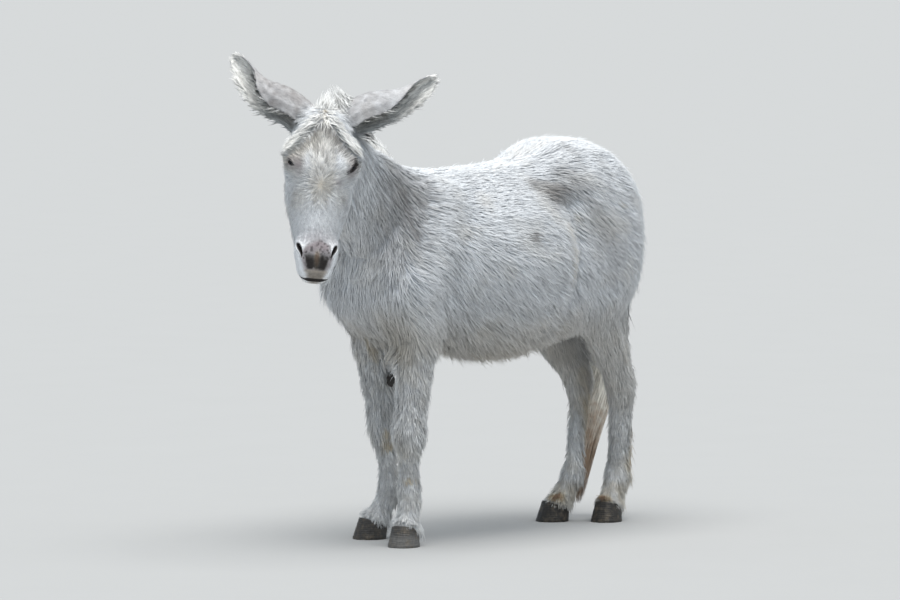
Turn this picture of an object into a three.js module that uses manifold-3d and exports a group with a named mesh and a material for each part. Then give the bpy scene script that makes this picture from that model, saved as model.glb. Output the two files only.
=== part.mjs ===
// A donkey standing at rest with its head turned to its left, at life size. Every form reaches out to
// the tips of its coat. Millimetres, +Z up. The donkey faces -Y, its left side is +X, and the floor is
// at Z = 0.
//
// The body is one field of soft-edged masses. Each part is a closed skin wrapped round that field from
// the part's own axis, then cut at the seams it shares with its neighbours, with a thin gap between.

import * as THREE from "three";
import { mergeVertices } from "three/addons/utils/BufferGeometryUtils.js";
import Module from "manifold-3d";

const wasm = await Module();
wasm.setup();

const { clamp, lerp, degToRad, smoothstep } = THREE.MathUtils;
const at = (x, y, z) => new THREE.Vector3(x, y, z);

// ---------------------------------------------------------------- driving dimensions

const GAP = 0.4; // clear space between two parts that meet

const WITHERS = 1092;
const CROUP = 1168;
const BACK = 1080; // lowest point of the back
const BELLY = 508; // tips of the belly hair
const BARREL_HALF_WIDTH = 258;
const TAIL_TIP = 48; // height of the tail's tip above the floor

const POLL = at(90, -768, 1268);
const HEAD_LENGTH = 528; // from the top of the poll to the lips
const HEAD_TURN = { tilt: 16, roll: 4.6, turn: 47.5 }; // degrees
const EYE = { radius: 20, x: 77, y: -49, z: -172 }; // from the poll
const EYE_LOOKS = at(0.62, -0.78, -0.05); // straight out of the left eye
const EYE_SLIT = at(0.46, 0.37, 0.81); // along its lids, from the inner corner up to the outer one
const LIDS_OPEN = { length: 44, height: 17 };

// The line of each ear, in the head's frame, from inside the skull to the tip.
const EARS = {
  left: [at(44, 20, -34), at(118, 24, 23), at(222, 42, 70), at(314, 72, 145)],
  right: [at(-40, 20, -32), at(-92, 30, 16), at(-174, 60, 66), at(-262, 104, 172)],
};
const EAR_HALF_WIDTH = 57;
const EAR_DEPTH = 0.8; // of its width, front to back
const EAR_THICK = { root: 10, tip: 6 };
const EAR_TURN = { root: 2.4, tip: 1.25 }; // half of what the leaf turns round its line, in radians
const EAR_BACK = { root: 18, tip: 56 }; // degrees its back leans from straight up towards the rear
const EAR_UNROLLS = { from: 0.34, to: 0.9 }; // where it opens, from the root at 0 to the tip at 1

const HOOF = { length: 108, width: 94, toeHeight: 64, heelHeight: 40, topSize: 0.82, lean: 12 };
const FETLOCK_HEIGHT = 146;

// Where each leg stands, and the centres of its joints. side is +1 on the left. toeOut is in degrees.
// slant is how far the fetlock stands behind the middle of the hoof, and stout scales the leg below its
// knee or hock.
const FORELEGS = {
  left: {
    side: 1,
    toeOut: 20,
    slant: 44,
    stout: 0.84,
    hoof: at(109, -459, 0),
    knee: at(105, -432, 335),
    elbow: at(126, -416, 615),
    chestnut: at(70, -422, 468),
  },
  right: {
    side: -1,
    toeOut: 24,
    slant: 62,
    stout: 0.78,
    hoof: at(-122, -360, 0),
    knee: at(-102, -318, 333),
    elbow: at(-134, -346, 615),
    chestnut: at(-66, -336, 470),
  },
};
const HINDLEGS = {
  left: {
    side: 1,
    toeOut: 12,
    slant: 70,
    stout: 0.96,
    hoof: at(52, 497, 0),
    hock: at(80, 526, 425),
    stifle: at(126, 312, 690),
  },
  right: {
    side: -1,
    toeOut: 28,
    slant: 63,
    stout: 0.72,
    hoof: at(-75, 394, 0),
    hock: at(-76, 510, 425),
    stifle: at(-126, 304, 690),
  },
};

// ---------------------------------------------------------------- soft-edged masses

// An egg-shaped mass. lean tips it forwards or back, in degrees.
function mass(centre, radii, lean = 0) {
  const cos = Math.cos(degToRad(lean));
  const sin = Math.sin(degToRad(lean));
  return (p) => {
    const y = p.y - centre.y;
    const z = p.z - centre.z;
    const qx = (p.x - centre.x) / radii.x;
    const qy = (y * cos + z * sin) / radii.y;
    const qz = (z * cos - y * sin) / radii.z;
    const size = Math.hypot(qx, qy, qz);
    const slope = Math.hypot(qx / radii.x, qy / radii.y, qz / radii.z);
    return slope > 0 ? (size * (size - 1)) / slope : -Math.min(radii.x, radii.y, radii.z);
  };
}

// A mass that tapers along a bone. wide stretches its section from side to side.
function bone(from, to, fromRadius, toRadius, wide = 1) {
  const along = to.clone().sub(from);
  const lengthSquared = along.lengthSq();
  const off = at(0, 0, 0);
  return (p) => {
    off.subVectors(p, from);
    const t = clamp(off.dot(along) / lengthSquared, 0, 1);
    off.addScaledVector(along, -t);
    off.x /= wide;
    return off.length() - lerp(fromRadius, toRadius, t);
  };
}

// Joins masses, with the creases between them filled out over about soft millimetres.
function blend(soft, masses) {
  return (p) =>
    masses.reduce((sum, each) => {
      const next = each(p);
      const near = Math.max(soft - Math.abs(sum - next), 0) / soft;
      return Math.min(sum, next) - (near * near * soft) / 4;
    }, Infinity);
}

const onBothSides = (make) => [1, -1].flatMap(make);

// ---------------------------------------------------------------- closed skins

// Turns rings of points into one closed mesh. An end closes on its pole, or with no pole is laced shut
// from each point of its ring to the one opposite.
function skinOf(rings, startPole, endPole) {
  const sides = rings[0].length;
  const points = rings.flat();
  const faces = [];
  for (let i = 0; i + 1 < rings.length; i++) {
    for (let j = 0; j < sides; j++) {
      const k = (j + 1) % sides;
      const a = i * sides;
      const b = a + sides;
      faces.push(a + j, a + k, b + k, a + j, b + k, b + j);
    }
  }
  const close = (base, pole, flip) => {
    const face = (a, b, c) => (flip ? faces.push(a, c, b) : faces.push(a, b, c));
    if (pole) points.push(pole);
    for (let j = 0; pole && j < sides; j++) face(points.length - 1, base + ((j + 1) % sides), base + j);
    for (let j = 0; !pole && j < sides / 2 - 1; j++) {
      const opposite = base + sides - 1 - j;
      face(base + j, opposite, opposite - 1);
      face(base + j, opposite - 1, base + j + 1);
    }
  };
  close(0, startPole, false);
  close((rings.length - 1) * sides, endPole, true);
  return new THREE.BufferGeometry().setFromPoints(points).setIndex(faces);
}

// Wraps a skin round a field. Rays leave the axis square to it, fan out round both its ends, and stop
// where the field's distance reaches grow.
function wrap(field, axisPoints, { rings, fans, sides }, grow = 0) {
  const axis = new THREE.CatmullRomCurve3(axisPoints);
  const probe = at(0, 0, 0);
  const reach = (from, direction) => {
    const distance = (r) => field(probe.copy(from).addScaledVector(direction, r)) - grow;
    let inner = 0;
    let outer = 2;
    while (distance(outer) < 0) {
      inner = outer;
      outer += Math.max(2, -0.7 * distance(outer));
    }
    for (let i = 0; i < 14; i++) {
      const middle = (inner + outer) / 2;
      if (distance(middle) < 0) inner = middle;
      else outer = middle;
    }
    return from.clone().addScaledVector(direction, outer);
  };
  const ring = (t, fan) => {
    const from = axis.getPointAt(t);
    const along = axis.getTangentAt(t);
    const across = at(1, 0, 0).addScaledVector(along, -along.x).normalize();
    const up = along.clone().cross(across);
    return Array.from({ length: sides }, (_, j) => {
      const turn = (2 * Math.PI * j) / sides;
      const out = across.clone().multiplyScalar(Math.cos(turn)).addScaledVector(up, Math.sin(turn));
      return reach(from, out.multiplyScalar(Math.cos(fan)).addScaledVector(along, Math.sin(fan)));
    });
  };
  const fanned = Array.from({ length: fans }, (_, i) => ((i + 1) * Math.PI) / 2 / (fans + 1));
  const all = [
    ...fanned.map((fan) => ring(0, -fan)).reverse(),
    ...Array.from({ length: rings }, (_, i) => ring(i / (rings - 1), 0)),
    ...fanned.map((fan) => ring(1, fan)),
  ];
  const startPole = reach(axis.getPointAt(0), axis.getTangentAt(0).negate());
  const endPole = reach(axis.getPointAt(1), axis.getTangentAt(1));
  return solidOf(skinOf(all, startPole, endPole));
}

// ---------------------------------------------------------------- cutting

function solidOf(geometry, matrix = new THREE.Matrix4()) {
  const plain = geometry.clone().applyMatrix4(matrix);
  plain.deleteAttribute("normal");
  plain.deleteAttribute("uv");
  const merged = mergeVertices(plain, 1e-3);
  const mesh = new wasm.Mesh({
    numProp: 3,
    vertProperties: new Float32Array(merged.getAttribute("position").array),
    triVerts: new Uint32Array(merged.index.array),
  });
  return new wasm.Manifold(mesh);
}

function geometryOf(solid) {
  const mesh = solid.getMesh();
  return new THREE.BufferGeometry()
    .setAttribute("position", new THREE.BufferAttribute(new Float32Array(mesh.vertProperties), 3))
    .setIndex(new THREE.BufferAttribute(new Uint32Array(mesh.triVerts), 1));
}

// All the space on one side of a plane, as far as it matters here.
function beyond(point, normal, gap = 0) {
  const reach = 2400;
  const away = normal.clone().normalize();
  const turn = new THREE.Quaternion().setFromUnitVectors(at(0, 0, 1), away);
  const centre = point.clone().addScaledVector(away, reach / 2 + gap);
  const place = new THREE.Matrix4().compose(centre, turn, at(1, 1, 1));
  return solidOf(new THREE.BoxGeometry(reach, reach, reach), place);
}

// What is left of a solid, as its one largest piece, once its neighbours are cut away.
function clearOf(solid, ...neighbours) {
  const left = neighbours.reduce((rest, neighbour) => rest.subtract(neighbour), solid);
  return left.decompose().sort((a, b) => b.volume() - a.volume())[0];
}

// ---------------------------------------------------------------- the body's one field

const upperForeleg = ({ side, elbow, knee }) =>
  blend(24, [
    bone(at(112 * side, -462, 752), elbow, 80, 70, 0.9),
    bone(elbow, knee, 66, 48, 0.98),
  ]);

const upperHindleg = ({ side, stifle, hock }) =>
  blend(30, [
    mass(at(108 * side, 372, 792), at(84, 142, 180), 18),
    mass(stifle, at(66, 78, 92)),
    bone(stifle.clone().add(at(-12 * side, 52, -40)), hock, 90, 44, 0.72),
    bone(at(92 * side, 484, 750), hock.clone().add(at(4 * side, 4, 105)), 74, 22, 0.8),
  ]);

const bodyField = blend(60, [
  mass(at(0, 10, (BELLY + BACK) / 2), at(BARREL_HALF_WIDTH, 405, (BACK - BELLY) / 2)),
  mass(at(0, -240, 820), at(206, 290, 248)),
  bone(at(0, -330, WITHERS - 86), at(0, -150, BACK - 78), 80, 74, 1.05),
  bone(at(0, -150, BACK - 80), at(0, 240, CROUP - 138), 76, 108, 1.2),
  mass(at(0, 365, CROUP - 160), at(125, 165, 156)),
  mass(at(0, 488, 985), at(78, 82, 98)),
  mass(at(0, -425, 795), at(150, 150, 185)),
  ...onBothSides((side) => [
    mass(at(70 * side, 318, 985), at(138, 205, 180), -8),
    mass(at(88 * side, 428, 900), at(112, 148, 205), 6),
    mass(at(116 * side, 350, 835), at(98, 165, 185), 20),
    bone(at(100 * side, -300, 985), at(126 * side, -440, 790), 70, 92, 0.75),
  ]),
  bone(at(0, -330, 952), at(22, -500, 1030), 130, 106, 0.74),
  bone(at(22, -500, 1030), at(70, -700, 1152), 106, 84, 0.76),
  bone(at(0, -400, 845), at(46, -615, 1010), 122, 92, 0.78),
  bone(at(46, -615, 1010), at(88, -735, 1105), 88, 72, 0.85),
  bone(at(70, -700, 1152), at(88, -758, 1200), 82, 74, 0.85),
  ...Object.values(FORELEGS).map(upperForeleg),
  ...Object.values(HINDLEGS).map(upperHindleg),
]);

// The seams. Each is a region that belongs to the neck or to one leg, and its gap is taken out of the
// trunk.
const neckRegion = (gap) => beyond(at(0, -442, 950), at(0, -0.826, 0.565), -gap);

const forelegRegion = ({ side, elbow }, gap) =>
  beyond(at(0, 0, 604), at(0, 0.06, -1), -gap)
    .intersect(beyond(at(46 * side, 0, 604), at(side, 0, -0.3), -gap))
    .intersect(beyond(at(0, elbow.y + 84, 604), at(0, -1, -0.2), -gap));

const hindlegRegion = ({ side }, gap) =>
  beyond(at(0, 205, 668), at(0, 0.2, -1), -gap)
    .intersect(beyond(at(28 * side, 0, 690), at(side, 0, -0.1), -gap))
    .intersect(beyond(at(0, 210, 690), at(0, 1, 0.18), -gap));

// ---------------------------------------------------------------- trunk and neck

const everyForeleg = Object.values(FORELEGS);
const everyHindleg = Object.values(HINDLEGS);

const trunkAxis = [at(0, -430, 890), at(0, -160, 840), at(0, 150, 850), at(0, 400, 920)];
const trunkWrap = (grow) => wrap(bodyField, trunkAxis, { rings: 15, fans: 4, sides: 24 }, grow);
const trunk = clearOf(
  trunkWrap(0),
  neckRegion(GAP),
  ...everyForeleg.map((leg) => forelegRegion(leg, GAP)),
  ...everyHindleg.map((leg) => hindlegRegion(leg, GAP)),
);

const neckAxis = [at(0, -405, 925), at(34, -560, 1035), at(80, -715, 1150)];
const neckWrap = (grow) => wrap(bodyField, neckAxis, { rings: 8, fans: 2, sides: 20 }, grow);

// ---------------------------------------------------------------- head, in its own frame

// The head's frame has its origin at the poll. The muzzle is towards -Z and the face towards -Y.
const headPlace = new THREE.Matrix4().compose(
  POLL,
  new THREE.Quaternion().setFromEuler(
    new THREE.Euler(
      -degToRad(HEAD_TURN.tilt),
      degToRad(HEAD_TURN.roll),
      degToRad(HEAD_TURN.turn),
      "ZYX",
    ),
  ),
  at(1, 1, 1),
);
const lipZ = 22 - HEAD_LENGTH; // the top of the skull stands 22 above the poll

const headField = blend(24, [
  mass(at(0, 8, -70), at(88, 84, 92)),
  mass(at(0, -12, -150), at(94, 68, 112)),
  bone(at(0, 0, -180), at(0, -8, lipZ + 90), 80, 50, 1.05),
  mass(at(0, 60, -205), at(84, 90, 126), -8),
  bone(at(0, 92, -190), at(0, 34, lipZ + 74), 66, 38, 1.2),
  mass(at(0, -6, lipZ + 86), at(57, 52, 60)),
  bone(at(-20, -24, lipZ + 34), at(20, -24, lipZ + 34), 27, 27),
  bone(at(-12, 20, lipZ + 38), at(12, 20, lipZ + 38), 31, 31),
  ...onBothSides((side) => [
    bone(at(24 * side, -52, -62), at(96 * side, -34, -134), 24, 27),
    mass(at(72 * side, -24, -172), at(38, 46, 44)),
    mass(at(66 * side, 46, -222), at(29, 62, 90), -10),
    mass(at(38 * side, 48, -314), at(35, 44, 76), -8),
    mass(at(38 * side, -28, lipZ + 92), at(21, 28, 32)),
  ]),
]);

const headAxis = [at(0, 12, -60), at(0, 38, -190), at(0, 14, -345), at(0, 0, lipZ + 58)];
const headWrap = (grow) => wrap(headField, headAxis, { rings: 16, fans: 3, sides: 20 }, grow);
const headCutter = headWrap(GAP);

const eyeBall = (side, radius) => {
  const place = new THREE.Matrix4().setPosition(EYE.x * side, EYE.y, EYE.z);
  return solidOf(new THREE.SphereGeometry(radius, 12, 8), place);
};

// The almond-shaped way between the lids, from inside the eyeball to outside the head.
function betweenLids(side) {
  const looks = EYE_LOOKS.clone().setX(EYE_LOOKS.x * side);
  const slit = EYE_SLIT.clone().setX(EYE_SLIT.x * side);
  const centre = at(EYE.x * side, EYE.y, EYE.z).addScaledVector(looks, EYE.radius / 2);
  const place = new THREE.Matrix4()
    .makeBasis(slit, looks.clone().cross(slit), looks)
    .scale(at(LIDS_OPEN.length / 2, LIDS_OPEN.height / 2, 1.3 * EYE.radius))
    .setPosition(centre);
  return solidOf(new THREE.SphereGeometry(1, 8, 6), place);
}

const eyeCutters = [1, -1].flatMap((side) => [eyeBall(side, EYE.radius + GAP), betweenLids(side)]);
const head = clearOf(headWrap(0), ...eyeCutters);

// An ear is a thick leaf rolled round its own line: nearly a tube for half its length, open further
// out, and blunt at its tip. It opens downwards at the root and turns to open forwards at the tip.
function earSolid(line, grow = 0) {
  const spine = new THREE.CatmullRomCurve3(line);
  const rings = Array.from({ length: 12 }, (_, i) => {
    const t = i / 11;
    const along = spine.getTangentAt(t);
    const unrolled = smoothstep(t, EAR_UNROLLS.from, EAR_UNROLLS.to);
    const facing = degToRad(lerp(EAR_BACK.root, EAR_BACK.tip, unrolled));
    const back = at(0, Math.sin(facing), Math.cos(facing));
    back.addScaledVector(along, -along.dot(back)).normalize();
    const across = along.clone().cross(back);
    const opening = lerp(EAR_TURN.root, EAR_TURN.tip, unrolled);
    const halfWidth = EAR_HALF_WIDTH * Math.sin(Math.PI * (0.36 + 0.62 * t)) ** 0.42;
    const radius = halfWidth / Math.sin(Math.min(opening, Math.PI / 2));
    const centre = spine.getPointAt(t).addScaledVector(back, (-radius * (1 + Math.cos(opening))) / 2);
    const wall = (r, turn) =>
      centre
        .clone()
        .addScaledVector(back, r * Math.cos(turn))
        .addScaledVector(across, r * EAR_DEPTH * Math.sin(turn));
    const turns = Array.from({ length: 9 }, (_, k) => opening * (k / 4 - 1)); // from edge to edge
    const thick = lerp(EAR_THICK.root, EAR_THICK.tip, t);
    const outside = turns.map((turn) => wall(radius + grow, turn));
    const inside = turns.map((turn) => wall(radius - thick - grow, turn));
    return [...outside, ...inside.reverse()];
  });
  return solidOf(skinOf(rings));
}

const neckCutter = neckWrap(GAP);
const neckInHead = neckCutter.transform(headPlace.clone().invert().elements);

// The tuft that stands up from the poll between the ears.
const forelockField = blend(16, [
  mass(at(18, 6, 40), at(40, 30, 48)),
  mass(at(-8, -6, 30), at(30, 28, 34)),
  mass(at(48, 4, 26), at(28, 28, 32)),
]);
const forelockWrap = (grow) =>
  wrap(forelockField, [at(18, 2, 22), at(18, 4, 50)], { rings: 3, fans: 2, sides: 9 }, grow);

// ---------------------------------------------------------------- mane and tail

const maneField = blend(14, [
  bone(at(2, -385, 1078), at(24, -490, 1136), 34, 54, 0.34),
  bone(at(24, -490, 1136), at(58, -640, 1212), 54, 60, 0.34),
  bone(at(58, -640, 1212), at(68, -690, 1232), 60, 48, 0.34),
]);
const maneAxis = [at(4, -395, 1084), at(24, -490, 1140), at(66, -680, 1232)];

const dockField = blend(20, [
  bone(at(0, 505, 1040), at(-6, 578, 985), 38, 36),
  bone(at(-6, 578, 985), at(-34, 612, 700), 34, 27),
]);
const dockAxis = [at(0, 520, 1040), at(-6, 580, 985), at(-22, 600, 850), at(-34, 612, 705)];
const switchField = blend(24, [
  bone(at(-30, 612, 745), at(-74, 634, 480), 28, 46),
  bone(at(-74, 634, 480), at(-104, 619, 350), 46, 54),
  bone(at(-104, 619, 350), at(-130, 606, 190), 54, 30),
  bone(at(-130, 606, 190), at(-150, 596, TAIL_TIP), 30, 20),
]);
const switchAxis = [
  at(-34, 614, 715),
  at(-74, 634, 480),
  at(-104, 619, 350),
  at(-130, 606, 190),
  at(-148, 597, TAIL_TIP + 14),
];

// ---------------------------------------------------------------- legs

function toeOf({ side, toeOut }) {
  const turn = degToRad(toeOut);
  return at(side * Math.sin(turn), -Math.cos(turn), 0);
}

function footOf(leg) {
  const toe = toeOf(leg);
  const behind = (distance, height) => leg.hoof.clone().addScaledVector(toe, -distance).setZ(height);
  const { slant, stout } = leg;
  const fetlock = behind(slant, FETLOCK_HEIGHT);
  const coronet = behind(HOOF.lean, (HOOF.toeHeight + HOOF.heelHeight) / 2);
  const masses = [
    mass(fetlock, at(36 * stout, 38 * stout, 40)),
    mass(behind(slant + 14, FETLOCK_HEIGHT - 14), at(26 * stout, 26 * stout, 34)),
    bone(fetlock, coronet, 34 * stout, 38),
    mass(behind(HOOF.lean + 14, coronet.z), at(41, 44, 24)),
  ];
  return { toe, fetlock, coronet, masses };
}

const lowerForeleg = (leg) => {
  const { knee, stout } = leg;
  const { fetlock, masses } = footOf(leg);
  return [
    mass(knee, at(50, 54, 60)),
    bone(knee.clone().add(at(0, -10, 0)), fetlock.clone().add(at(0, -7, 40)), 41 * stout, 38 * stout, 0.95),
    bone(knee.clone().add(at(0, 10, -40)), fetlock.clone().add(at(0, 4, 10)), 26 * stout, 22 * stout),
    ...masses,
  ];
};

const lowerHindleg = (leg) => {
  const { hock, stout } = leg;
  const { fetlock, masses } = footOf(leg);
  const heel = hock.clone().add(at(0, 27, 28)); // the point of the hock
  return [
    bone(heel.clone().add(at(0, -14, 90)), heel, 24, 23, 0.9),
    mass(hock, at(40, 48, 58)),
    bone(hock, fetlock, 38 * stout, 35 * stout, 0.95),
    bone(heel.clone().add(at(0, -14, -60)), fetlock.clone().add(at(0, 18, 30)), 32 * stout, 27 * stout),
    ...masses,
  ];
};

// A hoof stands flat on the floor: a blunt oval, longer than it is wide, that narrows up to a sloping
// coronet.
function hoofSolid(leg) {
  const levels = [0, 0.08, 1];
  const sides = 18;
  const rings = levels.map((level) =>
    Array.from({ length: sides }, (_, j) => {
      const turn = (2 * Math.PI * j) / sides;
      const size = lerp(1, HOOF.topSize, level) * (level ? 1 : 0.98);
      const ahead = Math.cos(turn) * (Math.cos(turn) < 0 ? 0.88 : 1); // the heel is blunter than the toe
      const aside = Math.sign(Math.sin(turn)) * Math.abs(Math.sin(turn)) ** 0.85;
      const x = (aside * HOOF.width * size) / 2;
      const y = level * HOOF.lean - (ahead * HOOF.length * size) / 2;
      return at(x, y, level * lerp(HOOF.heelHeight, HOOF.toeHeight, (1 + ahead) / 2));
    }),
  );
  const place = new THREE.Matrix4().makeRotationZ(degToRad(leg.side * leg.toeOut)).setPosition(leg.hoof);
  const middle = (HOOF.heelHeight + HOOF.toeHeight) / 2;
  return solidOf(skinOf(rings, at(0, 0, 0), at(0, HOOF.lean, middle)), place);
}

// The slope of the coronet, above which the pastern starts.
const coronetPlane = (leg, gap) => {
  const { toe, coronet } = footOf(leg);
  const slope = (HOOF.toeHeight - HOOF.heelHeight) / (HOOF.length * HOOF.topSize);
  return beyond(coronet, toe.clone().multiplyScalar(-slope).setZ(1), gap);
};

const above = (height) => beyond(at(0, 0, height), at(0, 0, 1));
const below = (height) => beyond(at(0, 0, height), at(0, 0, -1));

// Wraps a whole leg, trims it at the trunk and the coronet, and slices it across above its cannon and
// its pastern.
function legParts(leg, lower, axis, region, cannonTop) {
  const field = blend(28, [bodyField, ...lower]);
  const legWrap = (grow) => wrap(field, axis, { rings: 20, fans: 1, sides: 13 }, grow);
  const whole = legWrap(0).intersect(region).intersect(coronetPlane(leg, GAP));
  const pasternTop = FETLOCK_HEIGHT - 30;
  return {
    legWrap,
    upper: clearOf(whole.intersect(above(cannonTop))),
    cannon: clearOf(whole.intersect(below(cannonTop - GAP)).intersect(above(pasternTop))),
    pastern: clearOf(whole.intersect(below(pasternTop - GAP))),
  };
}

// ---------------------------------------------------------------- the model

const FUR = new THREE.MeshStandardMaterial({ color: 0xe4e5e4, roughness: 0.9, metalness: 0 });
const MUZZLE_FUR = new THREE.MeshStandardMaterial({ color: 0xe0dedb, roughness: 0.85, metalness: 0 });
const LONG_HAIR = new THREE.MeshStandardMaterial({ color: 0xe2dccb, roughness: 0.85, metalness: 0 });
const TAIL_HAIR = new THREE.MeshStandardMaterial({ color: 0x9c7f63, roughness: 0.85, metalness: 0 });
const HORN = new THREE.MeshStandardMaterial({ color: 0x56524d, roughness: 0.6, metalness: 0 });
const EYE_DARK = new THREE.MeshStandardMaterial({ color: 0x15100d, roughness: 0.08, metalness: 0 });
const CALLUS = new THREE.MeshStandardMaterial({ color: 0x1b1917, roughness: 0.7, metalness: 0 });

const donkey = new THREE.Group();
const headGroup = new THREE.Group();
headGroup.applyMatrix4(headPlace);
donkey.add(headGroup);

function add(name, solid, material, group = donkey) {
  const mesh = new THREE.Mesh(geometryOf(solid), material);
  mesh.name = name;
  group.add(mesh);
}

const inPlace = (solid) => solid.transform(headPlace.elements);

add("trunk", trunk, FUR);
add("head", head, MUZZLE_FUR, headGroup);

add("neck", clearOf(neckWrap(0).intersect(neckRegion(0)), inPlace(headCutter)), FUR);

for (const [name, side] of [["left", 1], ["right", -1]]) {
  add(`eye_${name}`, eyeBall(side, EYE.radius), EYE_DARK, headGroup);
  add(`ear_${name}`, clearOf(earSolid(EARS[name]), headCutter, neckInHead), FUR, headGroup);
}

const earCutters = Object.values(EARS).map((line) => earSolid(line, GAP));
add("forelock", clearOf(forelockWrap(0), headCutter, neckInHead, ...earCutters), LONG_HAIR, headGroup);

const mane = wrap(maneField, maneAxis, { rings: 8, fans: 2, sides: 8 });
const maneCutters = [headCutter, forelockWrap(GAP), ...earCutters].map(inPlace);
add("mane", clearOf(mane, neckCutter, trunkWrap(GAP), ...maneCutters), LONG_HAIR);

for (const [name, leg] of Object.entries(FORELEGS)) {
  const { fetlock, coronet } = footOf(leg);
  const axis = [leg.elbow, leg.knee, fetlock, coronet];
  const parts = legParts(leg, lowerForeleg(leg), axis, forelegRegion(leg, 0), leg.knee.z - 50);
  add(`foreleg_${name}_forearm`, parts.upper, FUR);
  add(`foreleg_${name}_cannon`, parts.cannon, FUR);
  add(`foreleg_${name}_pastern`, parts.pastern, FUR);
  add(`foreleg_${name}_hoof`, hoofSolid(leg), HORN);

  // The chestnut is a horny callus on the inside of the forearm.
  const place = new THREE.Matrix4().makeScale(16, 17, 21).setPosition(leg.chestnut);
  const callus = solidOf(new THREE.SphereGeometry(1, 10, 6), place);
  add(`chestnut_${name}`, clearOf(callus, parts.legWrap(GAP)), CALLUS);
}

const tailCutters = [trunkWrap(GAP)];
for (const [name, leg] of Object.entries(HINDLEGS)) {
  const { fetlock, coronet } = footOf(leg);
  const gaskin = leg.hock.clone().add(at(10 * leg.side, -40, 130));
  const axis = [at(112 * leg.side, 385, 715), gaskin, leg.hock, fetlock, coronet];
  const parts = legParts(leg, lowerHindleg(leg), axis, hindlegRegion(leg, 0), leg.hock.z - 72);
  add(`hindleg_${name}_thigh`, parts.upper, FUR);
  add(`hindleg_${name}_cannon`, parts.cannon, FUR);
  add(`hindleg_${name}_pastern`, parts.pastern, FUR);
  add(`hindleg_${name}_hoof`, hoofSolid(leg), HORN);
  tailCutters.push(parts.legWrap(GAP));
}

const dockWrap = (grow) => wrap(dockField, dockAxis, { rings: 7, fans: 1, sides: 9 }, grow);
const tailSwitch = wrap(switchField, switchAxis, { rings: 10, fans: 1, sides: 9 });
add("tail_dock", clearOf(dockWrap(0), ...tailCutters), LONG_HAIR);
add("tail_switch", clearOf(tailSwitch, dockWrap(GAP), ...tailCutters), TAIL_HAIR);

// The origin is on the floor, under the middle of the whole model.
const bounds = new THREE.Box3().setFromObject(donkey, true);
const middle = bounds.getCenter(at(0, 0, 0));
donkey.position.set(-middle.x, -middle.y, -bounds.min.z);

export default donkey;
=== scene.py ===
"""A white, long-haired donkey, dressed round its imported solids.

One skin is drawn over the solids of flesh and sunk inside them by the depth of the coat. The coat is
thin tapering locks, combed along the lie of the hair, whose tips reach back out to the solids. Metres,
+Z up. The donkey faces -Y and its left side is +X. The head has a frame of its own: origin at the
poll, +X to its left, -Y out of the face and -Z to the muzzle.
"""

import math

import bmesh
import bpy
import numpy as np
from mathutils import Euler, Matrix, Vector, noise
from mathutils.bvhtree import BVHTree
from mathutils.kdtree import KDTree


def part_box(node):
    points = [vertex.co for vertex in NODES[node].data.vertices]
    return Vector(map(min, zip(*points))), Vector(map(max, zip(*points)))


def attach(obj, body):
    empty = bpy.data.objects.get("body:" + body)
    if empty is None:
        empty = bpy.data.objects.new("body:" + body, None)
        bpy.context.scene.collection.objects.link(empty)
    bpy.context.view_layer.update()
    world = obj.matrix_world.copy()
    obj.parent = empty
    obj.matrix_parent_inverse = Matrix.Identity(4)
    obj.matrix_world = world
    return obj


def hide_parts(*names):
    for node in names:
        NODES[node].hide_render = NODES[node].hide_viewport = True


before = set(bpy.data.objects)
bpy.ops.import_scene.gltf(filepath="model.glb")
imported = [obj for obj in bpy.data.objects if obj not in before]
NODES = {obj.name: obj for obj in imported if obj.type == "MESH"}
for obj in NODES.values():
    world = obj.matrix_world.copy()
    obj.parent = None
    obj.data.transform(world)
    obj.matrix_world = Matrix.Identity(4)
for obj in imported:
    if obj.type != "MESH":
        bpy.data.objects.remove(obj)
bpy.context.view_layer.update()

rng = np.random.default_rng(7)

# ---------------------------------------------------------------- driving values

HEAD_TILT, HEAD_ROLL, HEAD_TURN = 16, 4.6, 47.5  # degrees, as in the solids
EYE = np.array([0.077, -0.049, -0.172])  # the left eye's centre, from the poll
EYE_RADIUS = 0.020

# How the coat grows on each part: length of hair, width of a lock, distance between roots, depth of the
# coat, distance between the lines that its locks gather to, and how strongly they do.
COAT = {
    "trunk": (0.062, 0.0029, 0.0052, 0.0140, 0.011, 0.28),
    "neck": (0.054, 0.0028, 0.0051, 0.0130, 0.011, 0.32),
    "thigh": (0.048, 0.0028, 0.0050, 0.0115, 0.011, 0.32),
    "forearm": (0.032, 0.0025, 0.0047, 0.0112, 0.014, 0.50),
    "cannon": (0.027, 0.0024, 0.0043, 0.0088, 0.014, 0.50),
    "pastern": (0.025, 0.0024, 0.0042, 0.0094, 0.014, 0.50),
    "hoof": (0.012, 0.0020, 0.0500, 0.0040, 0.012, 0.30),
    "head": (0.019, 0.0018, 0.0034, 0.0046, 0.007, 0.35),
    "ear": (0.013, 0.0015, 0.0034, 0.0008, 0.006, 0.30),
    "eye": (0.007, 0.0012, 0.0034, 0.0022, 0.006, 0.30),
    "dock": (0.070, 0.0032, 0.0052, 0.0120, 0.012, 0.40),
}
LENGTH, WIDTH, SPACING, DEPTH, CLUMP, GATHER = range(6)

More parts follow.
